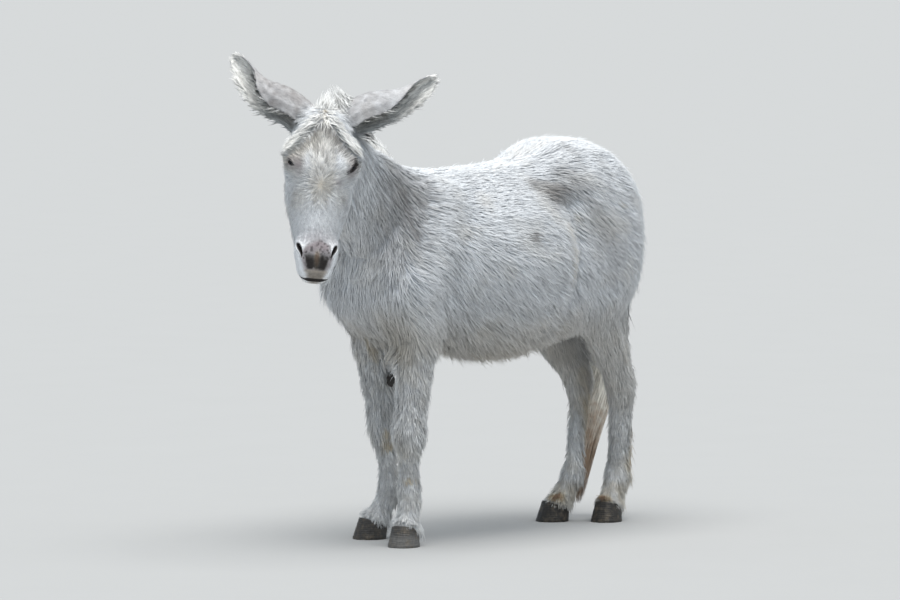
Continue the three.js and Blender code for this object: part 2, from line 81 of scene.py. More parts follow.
# Where it grows in a way of its own. Each row is laid over what is there already.
OWN_COAT = {
    "top": (0.046, 0.0026, 0.0048, 0.0110, 0.009, 0.22),
    "knee": (0.040, 0.0026, 0.0046, 0.0105, 0.015, 0.60),
    "fetlock": (0.046, 0.0026, 0.0044, 0.0110, 0.012, 0.55),
    "tendon": (0.068, 0.0028, 0.0046, 0.0140, 0.014, 0.60),
    "belly": (0.076, 0.0032, 0.0054, 0.0400, 0.013, 0.40),
    "forehead": (0.030, 0.0021, 0.0037, 0.0095, 0.009, 0.35),
    "nose": (0.011, 0.0015, 0.0033, 0.0034, 0.006, 0.30),
    "jaw": (0.032, 0.0022, 0.0039, 0.0090, 0.011, 0.45),
    "brow": (0.044, 0.0025, 0.0040, 0.0120, 0.012, 0.70),
    "heart": (0.024, 0.0021, 0.0037, 0.0072, 0.007, 0.60),
    "muzzle": (0.005, 0.0010, 0.0034, 0.0014, 0.005, 0.20),
}


def kind_of(node):
    """The row of COAT that a node of flesh belongs to, or None."""
    words = node.split("_")
    return next((word for word in (words[-1], words[0]) if word in COAT), None)


# ---------------------------------------------------------------- small tools


def unit(vectors):
    return vectors / np.maximum(np.linalg.norm(vectors, axis=-1, keepdims=True), 1e-12)


def dot(a, b):
    return (a * b).sum(-1)


def ramp(value, low, high):
    """0 below low, 1 above high, and smooth between."""
    t = np.clip((value - low) / (high - low), 0, 1)
    return t * t * (3 - 2 * t)


def near(points, centre, reach):
    """1 at the centre, falling off softly over reach, which is one number or three."""
    away = (points - np.asarray(centre)) / np.asarray(reach)
    return np.exp(-dot(away, away))


def bell(value, width):
    """1 where the value is 0, falling off softly over width."""
    return np.exp(-((value / width) ** 2))


def blend(a, b, share):
    """a where the share is 0, and b where it is 1."""
    return a + (b - a) * share


def columns(*values):
    return np.stack(values, axis=1)


def noise_at(points, size, seed):
    """Soft noise of about -1 to 1, with lumps of that size."""
    shift = np.array([13.1, 7.7, 3.9]) * (seed + 1)
    return np.array([noise.noise(p) for p in (points / size + shift).tolist()])


def read(items, attribute, width, kind=np.float32):
    """What a mesh's points, edges or corners hold, in rows of that width."""
    values = np.empty(len(items) * width, kind)
    items.foreach_get(attribute, values)
    return values.reshape(-1, width)


def points_of(mesh):
    return read(mesh.vertices, "co", 3).astype(float)


def normals_of(mesh):
    return read(mesh.vertex_normals, "vector", 3).astype(float)


def corners_of(mesh):
    """The point at each corner of each face."""
    return read(mesh.loops, "vertex_index", 1, np.int32)[:, 0]


def move_to(mesh, points):
    mesh.vertices.foreach_set("co", points.astype(np.float32).ravel())
    mesh.update()


def mesh_of(name, points, faces):
    """A mesh from points and rows of faces that all have the same number of corners."""
    mesh = bpy.data.meshes.new(name)
    mesh.vertices.add(len(points))
    mesh.vertices.foreach_set("co", points.astype(np.float32).ravel())
    count, corners = faces.shape
    mesh.loops.add(count * corners)
    mesh.loops.foreach_set("vertex_index", faces.astype(np.int32).ravel())
    mesh.polygons.add(count)
    mesh.polygons.foreach_set("loop_start", np.arange(0, count * corners, corners, dtype=np.int32))
    mesh.polygons.foreach_set("use_smooth", np.ones(count, bool))
    mesh.update(calc_edges=True)
    return mesh


def linked(name, data):
    """A new object in the scene."""
    made = bpy.data.objects.new(name, data)
    bpy.context.scene.collection.objects.link(made)
    return made


def voxel_mesh(points, faces, size):
    """One closed even mesh round a set of closed meshes, cut by voxels of that size."""
    source = linked("source", mesh_of("source", points, faces))
    modifier = source.modifiers.new("remesh", "REMESH")
    modifier.mode = "VOXEL"
    modifier.voxel_size = size
    mesh = bpy.data.meshes.new_from_object(source.evaluated_get(bpy.context.evaluated_depsgraph_get()))
    bpy.data.objects.remove(source)
    return mesh


def triangles_from(bm, growth=0.0):
    """A bmesh's points, pushed out along their normals, and its triangles."""
    points = np.array([v.co + v.normal * growth for v in bm.verts])
    faces = np.array([[v.index for v in face.verts] for face in bm.faces])
    bm.free()
    return points, faces


def piece_of(name, mesh, material, slot, *replaced):
    """A piece of the object, which rides on the one body and stands for the solids named."""
    piece = linked(name, mesh)
    mesh.materials.clear()
    mesh.materials.append(material)
    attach(piece, "root")
    if replaced:
        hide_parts(*replaced)


class Web:
    """The edges of a mesh, for averaging what its points carry with their neighbours."""

    def __init__(self, mesh):
        a, b = read(mesh.edges, "vertices", 2, np.int32).T
        self.at, self.other = np.concatenate([a, b]), np.concatenate([b, a])
        self.count = len(mesh.vertices)
        self.degree = np.maximum(np.bincount(self.at, minlength=self.count), 1)

    def mean(self, values):
        if values.ndim == 1:
            total = np.bincount(self.at, values[self.other], self.count)
            return total / self.degree
        return columns(*(self.mean(column) for column in values.T))

    def spread(self, values, passes):
        for _ in range(passes):
            values = 0.5 * values + 0.5 * self.mean(values)
        return values

    def smoothed(self, points, strength, passes):
        """Takes out bumps a few edges across without shrinking what is larger."""
        for _ in range(passes):
            for step in (0.5, -0.53):
                points = blend(points, self.mean(points), (step * strength)[:, None])
        return points


# ---------------------------------------------------------------- places


def middle(node):
    low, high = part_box(node)
    return np.array((low + high) / 2)


def box_of(node):
    return [np.array(corner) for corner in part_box(node)]


def at(node, x, y, z):
    """A point at those fractions of a node's box."""
    low, high = box_of(node)
    return low + (high - low) * (x, y, z)


HEAD_AXES = np.array(
    Euler((-math.radians(HEAD_TILT), math.radians(HEAD_ROLL), math.radians(HEAD_TURN)), "XYZ").to_matrix()
)
POLL = (middle("eye_left") + middle("eye_right")) / 2 - HEAD_AXES @ (EYE * (0, 1, 1))


def to_head(points):
    return (points - POLL) @ HEAD_AXES


def from_head(points):
    return np.asarray(points) @ HEAD_AXES.T + POLL


# ---------------------------------------------------------------- the skin

SKIN_VOXEL = 0.0150
HEAD_MIDDLE = (0, -0.06, -0.15)  # in the head's frame
FINE_REACH = 0.44  # the head and ears are remeshed finer, out to this distance from the head's middle
FINE_SCALE = 3.0
FAR_REACH = 3.0  # the rest lies within this distance beyond
FAR_SCALE = 0.85
GROWTH = 0.001  # the solids are grown this much, so that neighbours run into each other
SMOOTHING = 36  # passes, which take out the steps from solid to solid
EAR_SMOOTHING = 0.35  # how much of that the thin ears get
MIXING = 12  # passes, which blend one kind of flesh into the next

# Hooves and tail are drawn in, so that the skin runs on inside them, and the thin ears are grown more.
OWN_GROWTH = {"hoof": -0.012, "dock": -0.013, "ear": 0.0014}


def node_mesh(node, growth=0.0):
    """A node's points, pushed out along their normals, and its triangles."""
    bm = bmesh.new()
    bm.from_mesh(NODES[node].data)
    bmesh.ops.remove_doubles(bm, verts=bm.verts, dist=1e-5)
    bm.normal_update()
    return triangles_from(bm, growth)


def joined(nodes):
    """Several nodes in one, with the node of each triangle."""
    all_points, all_faces, owners, start = [], [], [], 0
    for index, node in enumerate(nodes):
        points, faces = node_mesh(node, OWN_GROWTH.get(kind_of(node), GROWTH))
        all_points.append(points)
        all_faces.append(faces + start)
        owners.append(np.full(len(faces), index))
        start += len(points)
    return np.concatenate(all_points), np.concatenate(all_faces), np.concatenate(owners)


def stretch(points, inverse=False):
    """Swells the space round the head, or brings it back, so that even voxels cut it finer."""
    centre = from_head(HEAD_MIDDLE)
    away = points - centre
    reach = np.linalg.norm(away, axis=1)
    fine = FINE_REACH * FINE_SCALE
    swollen = [0, fine, fine + FAR_REACH * FAR_SCALE]
    true = [0, FINE_REACH, FINE_REACH + FAR_REACH]
    new_reach = np.interp(reach, swollen, true) if inverse else np.interp(reach, true, swollen)
    return centre + away * (new_reach / np.maximum(reach, 1e-9))[:, None]


def refine(mesh, chosen):
    """Splits each edge between two chosen points."""
    bm = bmesh.new()
    bm.from_mesh(mesh)
    bm.verts.ensure_lookup_table()
    edges = [e for e in bm.edges if chosen[e.verts[0].index] and chosen[e.verts[1].index]]
    bmesh.ops.subdivide_edges(bm, edges=edges, cuts=1, use_grid_fill=True, smooth=0.4)
    bm.to_mesh(mesh)
    bm.free()


# The eyes, in the head's frame. Those of the right side are mirrored.
EYE_LOOKS = np.array([0.62, -0.78, -0.05])
EYE_SLITS = {1: np.array([0.46, 0.37, 0.81]), -1: np.array([0.70, 0.42, 0.56])}  # from the inner corner
LID_THICKNESS = 0.0014
LIDS_HALF_LENGTH = {1: 0.0205, -1: 0.0100}  # the right eye is the sleepier one
LIDS_HALF_GAP = {1: 0.0040, -1: 0.0036}
LIDS_MIDDLE = {1: 0.0085, -1: 0.0036}  # how far the gap lies towards the outer corner
LIDS_DARK = {1: (0.0056, 0.0034), -1: (0.0040, 0.0018)}  # how far round the gap the skin is black
LID_BLEND = 0.004  # over this much of its height, a lid runs out into the face

NOSTRIL = np.array([0.0455, -0.047, -0.417])
NOSTRIL_FACES = np.array([0.60, -0.76, -0.25])
NOSTRIL_SLIT = np.array([0.40, 0.05, 0.90])  # from its inner lower end to its outer upper one
NOSTRIL_HALF_LENGTH = 0.021
NOSTRIL_HALF_WIDTH = 0.0062

MOUTH_FRONT = np.array([0, -0.014, -0.489])
MOUTH_CORNER = np.array([0, 0.036, -0.428])


def slit_frame(side, centre, faces, slit):
    """An opening's centre and its axes: out, along, and across towards the top of the head."""
    mirror = np.array([side, 1, 1])
    out = unit(faces * mirror)
    along = unit(slit * mirror - out * (out @ (slit * mirror)))
    return centre * mirror, out, along, np.cross(out, along) * side


def round_eye(points, side):
    """How far points in front of an eye lie outside the gap between its lids, and their reach from its
    centre, their place above the gap and how squarely they are in front."""
    centre, out, along, across = slit_frame(side, EYE, EYE_LOOKS, EYE_SLITS[side])
    away = points - centre
    ahead = unit(away)
    front = ramp(ahead @ out, 0.05, 0.45)
    length = np.arctan2(ahead @ along, ahead @ out) * EYE_RADIUS - LIDS_MIDDLE[side]
    height = np.arcsin(np.clip(ahead @ across, -1, 1)) * EYE_RADIUS
    half = LIDS_HALF_LENGTH[side]
    round_off = np.clip(1 - (length / half) ** 2, 0, 1)
    gap = LIDS_HALF_GAP[side] * np.sqrt(round_off) * (1 + 0.30 * length / half)
    beside, above = np.abs(length) - half, np.abs(height - 0.0012 * round_off) - gap
    outside = np.hypot(np.maximum(above, 0), np.maximum(beside, 0))
    return outside, np.linalg.norm(away, axis=1), height, front


def with_lids(points, side):
    """Draws the skin over an eyeball as two lids with a narrow gap between them."""
    outside, reach, height, front = round_eye(points, side)
    centre = EYE * (side, 1, 1)
    margin = 0.0011 * bell(outside - 0.0016, 0.0012)
    crease = 0.0012 * bell(height - 0.0125, 0.0016) * (outside > 0.004)
    lid = EYE_RADIUS + LID_THICKNESS + margin - crease
    closeness = ramp(reach, 0.042, 0.030) * front
    drawn = lid + LID_BLEND * np.logaddexp(0, (reach - lid) / LID_BLEND)
    sunk = 0.72 * EYE_RADIUS
    drawn = blend(drawn, sunk, 1 - ramp(outside, 0, 0.0011))
    reach = blend(reach, drawn, closeness)
    return centre + unit(points - centre) * reach[:, None]


def nostril_reach(points, side):
    """1 on the rim of a nostril and less inside it, with how far out of it each point lies."""
    centre, out, along, across = slit_frame(side, NOSTRIL, NOSTRIL_FACES, NOSTRIL_SLIT)
    away = points - centre
    length, width, depth = away @ along, away @ across, away @ out
    bend = width + 12 * (length + 0.004) ** 2 - 0.0015
    narrow = NOSTRIL_HALF_WIDTH * (1 + 24 * length)
    return np.hypot(length / NOSTRIL_HALF_LENGTH, bend / narrow), depth


def with_nostril(points, side):
    rim, depth = nostril_reach(points, side)
    out = unit(NOSTRIL_FACES * (side, 1, 1))
    level = ramp(np.abs(depth), 0.034, 0.022)
    sunk = -0.017 * (1 - ramp(rim, 0.35, 1.12))
    flared = 0.0026 * bell(rim - 1.45, 0.34)
    return points + out * ((sunk + flared) * level)[:, None]


def mouth_height(points):
    """How far points lie behind the line of the mouth, towards the chin, and whether they lie before its
    corner."""
    back = MOUTH_CORNER - MOUTH_FRONT
    reach = np.linalg.norm(back)
    back = back / reach
    chin = np.array([0, back[2], -back[1]])
    away = points - MOUTH_FRONT
    return away @ chin, 1 - ramp(away @ back, 0.86 * reach, reach)


def with_mouth(points, normals):
    """Parts the lips with a groove, and lets both stand out a little beside it."""
    behind, before_corner = mouth_height(points)
    on_muzzle = before_corner * ramp(points[:, 2], -0.40, -0.425)
    groove = -0.0055 * bell(behind, 0.0024)
    lips = 0.0022 * bell(behind - 0.0062, 0.0036) + 0.0014 * bell(behind + 0.0058, 0.0032)
    return points + normals * ((groove + lips) * on_muzzle)[:, None]


# The lower edge of the long hair of the forehead: z over x, in the head's frame.
BROW_LINE = {0: -0.046, 0.024: -0.074, 0.042: -0.096, 0.060: -0.113, 0.087: -0.130, 0.110: -0.145}


def above_brow(points):
    """How far points of the head lie above that edge."""
    return points[:, 2] - np.interp(np.abs(points[:, 0]), list(BROW_LINE), list(BROW_LINE.values()))


def head_parts(points):
    """Masks for the regions of the head, from points in its own frame."""
    x, y, z = points.T
    front = ramp(y, 0.05, 0.01)
    above = above_brow(points)
    blaze_width = np.interp(z, [-0.300, -0.220], [0.016, 0.036])
    blaze = ramp(np.abs(x) - blaze_width, 0.012, -0.008) * ramp(z, -0.310, -0.270)
    brow = front * ramp(above, -0.006, 0.006) * ramp(above, 0.058, 0.028)
    return {
        "brow": brow * ramp(np.abs(x), 0.094, 0.074),
        "forehead": ramp(z, -0.13, -0.08) * ramp(y, 0.06, 0.0),
        "heart": front * ramp(above, 0.006, -0.008) * np.maximum(ramp(above, -0.060, -0.020), blaze),
        "nose": front * ramp(z, -0.26, -0.32),
        "jaw": ramp(y, 0.03, 0.075) * ramp(z, -0.42, -0.36),
        "muzzle": ramp(z, -0.365, -0.405),
    }


def refine_face(mesh):
    """Makes the mesh finer where the lids, nostrils and mouth are to be carved."""
    for reach in (0.050, 0.031):
        points = to_head(points_of(mesh))
        chosen = np.zeros(len(points), bool)
        for side in (1, -1):
            chosen |= np.linalg.norm(points - EYE * (side, 1, 1), axis=1) < reach
            chosen |= np.linalg.norm(points - NOSTRIL * (side, 1, 1), axis=1) < min(reach, 0.032)
        behind, before_corner = mouth_height(points)
        chosen |= (np.abs(behind) < 0.45 * reach) & (before_corner > 0) & (points[:, 2] < -0.40)
        refine(mesh, chosen)


# Folds of the skin: how deep, how wide, and through which places on the left of the trunk.
FLANK = [(0.86, 0.65, 0.72), (0.93, 0.668, 0.55), (0.97, 0.655, 0.4), (0.96, 0.64, 0.2), (0.9, 0.62, 0.04)]
FOLDS = [
    (0.019, 0.034, FLANK),
    (0.010, 0.045, [(0.86, 0.29, 0.80), (0.95, 0.23, 0.55), (0.95, 0.20, 0.22)]),
    (0.008, 0.040, [(0.80, 0.83, 0.90), (0.88, 0.86, 0.70), (0.90, 0.85, 0.45)]),
]


def to_line(points, places):
    """How far points are from a line through places."""
    nearest = np.full(len(points), np.inf)
    for a, b in zip(places, places[1:]):
        t = np.clip((points - a) @ (b - a) / ((b - a) @ (b - a)), 0, 1)
        nearest = np.minimum(nearest, np.linalg.norm(points - a - t[:, None] * (b - a), axis=1))
    return nearest


def folds_at(points):
    """How far the skin lies deeper in the folds between barrel, thigh and shoulder, on both sides."""
    deeper = np.zeros(len(points))
    mirrored = points.copy()
    mirrored[:, 0] = np.abs(points[:, 0])
    for depth, width, places in FOLDS:
        line = [at("trunk", *place) for place in places]
        deeper += depth * bell(to_line(mirrored, line), width)
    return deeper


def fields_of(web, kinds_there):
    """What the skin carries: its shares of each kind of flesh, its coat, and where it is hoof."""
    kinds = list(COAT)
    share = np.zeros((web.count, len(kinds)))
    share[np.arange(web.count), [kinds.index(kind) for kind in kinds_there]] = 1
    hoof = share[:, kinds.index("hoof")] > 0.5
    share = web.spread(share, MIXING)
    return dict(zip(kinds, share.T)), share @ np.array(list(COAT.values())), hoof


def own_places(share, points, normals):
    """How fully each point of the skin belongs to each place of OWN_COAT."""
    head = share["head"] + share["eye"]
    height, fore = points[:, 2], points[:, 1] < 0.1
    behind = ramp(normals[:, 1], -0.1, 0.6)
    joint = np.where(fore, 0.300, 0.350)
    legs = share["forearm"] + share["cannon"] + share["pastern"] + share["thigh"] * ramp(height, 0.42, 0.38)
    belly = share["trunk"] * ramp(-normals[:, 2], -0.1, 0.8) * ramp(points[:, 1], -0.33, -0.15)
    return {
        "top": share["trunk"] * ramp(normals[:, 2], 0.3, 0.8),
        "knee": legs * bell(height - joint, 0.045),
        "fetlock": legs * behind * ramp(height, 0.17, 0.13) * ramp(height, 0.04, 0.07),
        "tendon": legs * behind * ~fore * ramp(height, 0.36, 0.28) * ramp(height, 0.12, 0.17),
        "belly": belly * ramp(points[:, 1], 0.40, 0.25),
        **{name: head * part for name, part in head_parts(to_head(points)).items()},
    }


def make_skin():
    """The mesh of the skin, its points, what they carry, and its web."""
    flesh = sorted(node for node in NODES if kind_of(node))
    flesh_points, flesh_faces, owners = joined(flesh)
    kinds = [kind_of(node) for node in flesh]
    tree = BVHTree.FromPolygons(flesh_points.tolist(), flesh_faces.tolist())

    def kinds_at(points):
        return [kinds[owners[tree.find_nearest(p)[2]]] for p in points.tolist()]

    mesh = voxel_mesh(stretch(flesh_points), flesh_faces, SKIN_VOXEL)
    move_to(mesh, stretch(points_of(mesh), inverse=True))
    web = Web(mesh)
    points = points_of(mesh)
    strength = web.spread(np.where(np.array(kinds_at(points)) == "ear", EAR_SMOOTHING, 1.0), 3)
    move_to(mesh, web.smoothed(points, strength, SMOOTHING))
    refine_face(mesh)

    web = Web(mesh)
    points = points_of(mesh)
    normals = unit(web.spread(normals_of(mesh), 5))
    share, coat, hoof = fields_of(web, kinds_at(points))
    places = own_places(share, points, normals)
    for name, row in OWN_COAT.items():
        coat = blend(coat, np.array(row), places[name][:, None])
    coat = web.spread(coat, 3)
    points = points - normals * (coat[:, DEPTH] + GROWTH + folds_at(points))[:, None]

    # The face is carved only once it lies at its own depth.
    in_head = with_mouth(to_head(points), normals @ HEAD_AXES)
    for side in (1, -1):
        in_head = with_nostril(with_lids(in_head, side), side)
    points = from_head(in_head)
    move_to(mesh, points)
    return mesh, points, share, coat, hoof, web


skin_mesh, skin, share, coat, hoof, web = make_skin()
head_share = share["head"] + share["eye"]
skin_in_head = to_head(skin)
normals = unit(web.spread(normals_of(skin_mesh), 2))

EAR_WAY = np.array([0.27, 0.06, 0.19])  # how the left ear points, in the head's frame
EAR_LEVELS = 16  # its middle line is found at so many places


def ear_places(points, out):
    """How far out along its ear each point of the ears lies, 0 to 1, and how squarely it faces the
    middle line of its ear: 1 inside the hollow and -1 on the back."""
    along_ear, facing = np.zeros(len(points)), np.zeros(len(points))
    for side in (1, -1):
        mine = np.flatnonzero((share["ear"] > 0.1) & (points[:, 0] * side > 0))
        along = points[mine] @ unit(EAR_WAY * (side, 1, 1))
        levels = np.linspace(along.min(), along.max(), EAR_LEVELS)
        weight = bell(along - levels[:, None], 0.012)
        middles = weight @ points[mine] / weight.sum(axis=1, keepdims=True)
        middle_line = columns(*(np.interp(along, levels, column) for column in middles.T))
        facing[mine] = dot(out[mine], unit(middle_line - points[mine]))
        along_ear[mine] = (along - along.min()) / (along.max() - along.min())
    return along_ear, facing


along_ear, facing_in = ear_places(skin_in_head, normals @ HEAD_AXES)
inside_ear = web.spread(ramp(facing_in, -0.05, 0.35), 1)


# ---------------------------------------------------------------- the lie of the coat

WHORL = np.array([-0.002, -0.078, -0.230])  # on the face, in the head's frame


def turned(vectors, axes, angles):
    """Vectors turned about unit axes, by radians."""
    turn_cos, turn_sin = np.cos(angles)[:, None], np.sin(angles)[:, None]
    along = dot(vectors, axes)[:, None] * axes * (1 - turn_cos)
    return vectors * turn_cos + np.cross(axes, vectors) * turn_sin + along


def flat_on(vectors, normals):
    """Vectors laid down in the surface, and made one long."""
    return unit(vectors - dot(vectors, normals)[:, None] * normals)


def face_flow(points):
    """Which way the hair of the head goes, in its frame."""
    x, y, _ = points.T
    side = np.sign(x) * ramp(np.abs(x), 0, 0.012)
    from_whorl = unit((points - WHORL) * (1.5, 0.2, 1))
    parted = side[:, None] * (1.05, 0, 0) + (0, 0.15, -0.85)
    cheek, jaw = np.array([0, 0.55, -0.65]), np.array([0, -0.25, -1])
    flow = blend(from_whorl, parted, ramp(above_brow(points), -0.008, 0.010)[:, None])
    flow = blend(flow, cheek, ramp(y, -0.045, 0.0)[:, None])
    return unit(blend(flow, jaw, ramp(y, 0.035, 0.075)[:, None]))


def lie_of_coat():
    """The way the hair lies at each point of the skin."""
    top = ramp(normals[:, 2], -0.1, 0.75)[:, None]
    rear = ramp(normals[:, 1], 0.35, 0.85)[:, None]
    front = ramp(normals[:, 1], -0.45, -0.9)[:, None]
    side = np.sign(skin[:, :1]) * (1, 0, 0)
    back, down = np.array([0, 1, 0]), np.array([0, 0, -1])
    body = back * (0.62 + 0.5 * top) + down * (0.66 - 0.3 * top) + side * 0.25 * top
    body = blend(body, down + 0.12 * side, np.maximum(rear, front))
    mane_line = unit(np.array([-0.20, 0.79, -0.57]))
    neck = mane_line * 0.55 + down * 0.85
    leg = np.array([0, 0.16, -1])
    face = face_flow(skin_in_head) @ HEAD_AXES.T
    flows = {
        "trunk": body,
        "neck": blend(neck, down, front),
        "thigh": np.array([0, 0.30, -1]),
        "forearm": leg,
        "cannon": leg,
        "pastern": leg,
        "hoof": leg,
        "head": face,
        "eye": face,
        "ear": unit(skin - from_head([0, 0.03, -0.04])),
        "dock": np.array([0, 0.05, -1]),
    }
    flow = sum(share[kind][:, None] * flat_on(direction, normals) for kind, direction in flows.items())
    flow = flat_on(flow, normals)
    smooth, sharp = web.spread(flow, 14), web.spread(flow, 2)
    flow = flat_on(blend(smooth, sharp, np.clip(head_share, 0, 1)[:, None]), normals)
    wander = 0.30 * noise_at(skin, 0.18, 1) + 0.12 * noise_at(skin, 0.05, 2)
    return turned(flow, normals, wander * (1 - 0.5 * head_share))


lie = lie_of_coat()


# ---------------------------------------------------------------- markings and painted shade

# TAUPE, DARK and PINK also carry painted shade; the places where they do say so.
TAUPE, CREAM, DARK, PINK = range(4)  # under CREAM, a half is cream and a whole is rust

STAINS_AND_SHADE = [  # stains and painted shade: which, how much, reach, node, and places as fractions of its box
    (TAUPE, 0.85, (0.060, 0.052, 0.040), "trunk", (0.827, 0.624, 0.757)),
    (TAUPE, 0.55, (0.060, 0.046, 0.034), "trunk", (0.795, 0.570, 0.790)),
    (TAUPE, 0.40, (0.050, 0.050, 0.044), "trunk", (0.805, 0.660, 0.830), (0.870, 0.695, 0.765)),
    (TAUPE, 0.40, (0.040, 0.036, 0.034), "trunk", (0.862, 0.600, 0.705)),
    (TAUPE, 0.85, (0.040, 0.021, 0.024), "trunk", (0.968, 0.472, 0.573)),
    (DARK, 0.60, (0.020, 0.005, 0.005), "trunk", (0.981, 0.481, 0.536)),
    # painted shade: a dark line along the fold of the flank
    (TAUPE, 0.50, (0.022, 0.009, 0.018), "trunk", (0.870, 0.659, 0.702), (0.885, 0.642, 0.661)),
    (TAUPE, 0.50, (0.022, 0.009, 0.018), "trunk", (0.916, 0.652, 0.601)),
    (CREAM, 0.34, (0.030, 0.011, 0.018), "trunk", (0.895, 0.683, 0.641)),
    # browner and darker behind the fold of the flank
    (TAUPE, 0.22, (0.070, 0.060, 0.080), "trunk", (0.914, 0.742, 0.600), (0.930, 0.800, 0.480)),
    (CREAM, 0.10, (0.050, 0.050, 0.050), "trunk", (0.914, 0.742, 0.638)),
    (TAUPE, 0.36, (0.040, 0.012, 0.022), "trunk", (0.695, 0.721, 0.964), (0.745, 0.722, 0.947)),
    (TAUPE, 0.36, (0.030, 0.012, 0.026), "trunk", (0.805, 0.718, 0.901), (0.837, 0.791, 0.886)),
    (TAUPE, 0.36, (0.030, 0.012, 0.026), "trunk", (0.874, 0.815, 0.826)),
    (CREAM, 0.45, (0.024, 0.014, 0.016), "trunk", (0.914, 0.842, 0.699)),
    (CREAM, 0.20, (0.050, 0.022, 0.045), "trunk", (0.929, 0.630, 0.591), (0.961, 0.635, 0.473)),
    (CREAM, 0.20, (0.050, 0.022, 0.045), "trunk", (0.964, 0.628, 0.384)),
    (CREAM, 0.16, (0.080, 0.060, 0.120), "trunk", (0.700, 0.070, 0.190)),
    (TAUPE, 0.50, (0.030, 0.014, 0.036), "neck", (0.842, 0.735, 0.522), (0.910, 0.732, 0.407)),
    (TAUPE, 0.50, (0.030, 0.014, 0.036), "trunk", (0.795, 0.108, 0.613)),
    # painted shade: the side of the neck darker
    (TAUPE, 0.46, (0.090, 0.120, 0.180), "neck", (0.900, 0.600, 0.400), (0.850, 0.800, 0.650)),
    (TAUPE, 0.60, (0.018, 0.022, 0.007), "foreleg_left_forearm", (0.499, 0.049, 0.076)),
    (TAUPE, 0.50, (0.014, 0.022, 0.006), "foreleg_left_forearm", (0.641, 0.090, 0.136)),
    (TAUPE, 0.50, (0.008, 0.020, 0.007), "foreleg_left_cannon", (0.903, 0.316, 0.899)),
    (TAUPE, 0.45, (0.008, 0.020, 0.007), "foreleg_left_cannon", (0.759, 0.240, 0.759)),
    (CREAM, 0.45, (0.018, 0.040, 0.007), "foreleg_left_cannon", (0.661, 0.259, 0.418)),
    (CREAM, 0.46, (0.020, 0.030, 0.020), "foreleg_right_cannon", (0.850, 0.200, 0.950)),
    (CREAM, 0.40, (0.016, 0.030, 0.014), "foreleg_right_forearm", (0.825, 0.388, 0.084)),
    (CREAM, 0.34, (0.012, 0.030, 0.060), "foreleg_right_forearm", (0.657, 0.154, 0.887)),
    (CREAM, 0.95, (0.026, 0.026, 0.012), "hindleg_right_pastern", (0.649, 0.103, 0.478)),
    (CREAM, 1.00, (0.024, 0.024, 0.011), "hindleg_left_pastern", (0.579, 0.012, 0.419)),
    (DARK, 0.55, (0.020, 0.020, 0.007), "hindleg_left_pastern", (0.579, 0.012, 0.330)),
    (CREAM, 0.26, (0.040, 0.040, 0.070), "hindleg_right_thigh", (0.950, 0.800, 0.200)),
    (CREAM, 0.50, (0.012, 0.030, 0.050), "hindleg_left_cannon", (0.400, 0.100, 0.986)),
    (CREAM, 0.46, (0.050, 0.040, 0.100), "hindleg_left_cannon", (0.5, 0.9, 0.75), (0.5, 0.9, 0.3)),
    (CREAM, 0.46, (0.050, 0.040, 0.100), "hindleg_right_cannon", (0.5, 0.9, 0.75), (0.5, 0.9, 0.3)),
    (CREAM, 0.30, (0.060, 0.070, 0.050), "hindleg_left_pastern", (0.5, 0.6, 0.5)),
    (CREAM, 0.30, (0.060, 0.070, 0.050), "hindleg_right_pastern", (0.5, 0.6, 0.5)),
    # painted shade on the inside of the far thigh, between the hind legs
    (TAUPE, 0.45, (0.040, 0.060, 0.100), "hindleg_right_thigh", (0.900, 0.500, 0.350)),
]
SMUDGES_AND_SHADE = [  # smudges and painted shade: which, how much, place and reach, in the head's frame
    (PINK, 0.75, (-0.068, -0.070, -0.180), (0.013, 0.030, 0.026)),
    (TAUPE, 0.55, (-0.068, -0.072, -0.160), (0.014, 0.030, 0.022)),
    (TAUPE, 0.70, (-0.077, -0.009, -0.275), (0.009, 0.012, 0.009)),
    (TAUPE, 0.60, (-0.072, -0.029, -0.250), (0.007, 0.012, 0.010)),
    (TAUPE, 0.60, (0.069, -0.030, -0.260), (0.008, 0.012, 0.010)),
    (TAUPE, 0.60, (0.084, 0.005, -0.274), (0.010, 0.012, 0.010)),
    (PINK, 0.60, (0.049, -0.066, -0.218), (0.012, 0.020, 0.014)),
    # painted shade under the left eye
    (PINK, 0.50, (0.083, -0.058, -0.195), (0.012, 0.020, 0.012)),
]
# Painted shade in the depths of the ears, in the head's frame.
EAR_SHADE_SPOTS = [(0.126, 0.050, 0.006), (0.105, 0.040, -0.004), (-0.118, 0.050, 0.010), (-0.096, 0.055, 0.010)]
BELLY_LOW, BELLY_HIGH = (at("trunk", 0, 0, height)[2] for height in (0.08, 0.30))

# The black round the left eye runs out into these lines, in the head's frame: width and places.
EYE_LINES = [
    (0.0032, [np.array([0.080, -0.066, -0.178]), np.array([0.062, -0.064, -0.208])]),
    (0.0042, [np.array([0.098, -0.057, -0.160]), np.array([0.109, -0.050, -0.151])]),
]


class Marks:
    """The markings and painted shade at some points, one column each, and the noise that makes their edges
    ragged.
    """

    def __init__(self, points):
        self.columns = np.zeros((len(points), 4))
        self.face = to_head(points)
        self.ragged = 0.5 + 0.5 * noise_at(points, 0.018, 3)
        self.broad = 0.5 + 0.5 * noise_at(points, 0.07, 4)
        self.fine = 0.5 + 0.5 * noise_at(points, 0.0075, 5)

    def add(self, which, amount):
        left = 1 - self.columns[:, which]
        self.columns[:, which] = 1 - left * (1 - np.clip(amount, 0, 1))

    def keep(self, which, part):
        self.columns[:, which] *= part


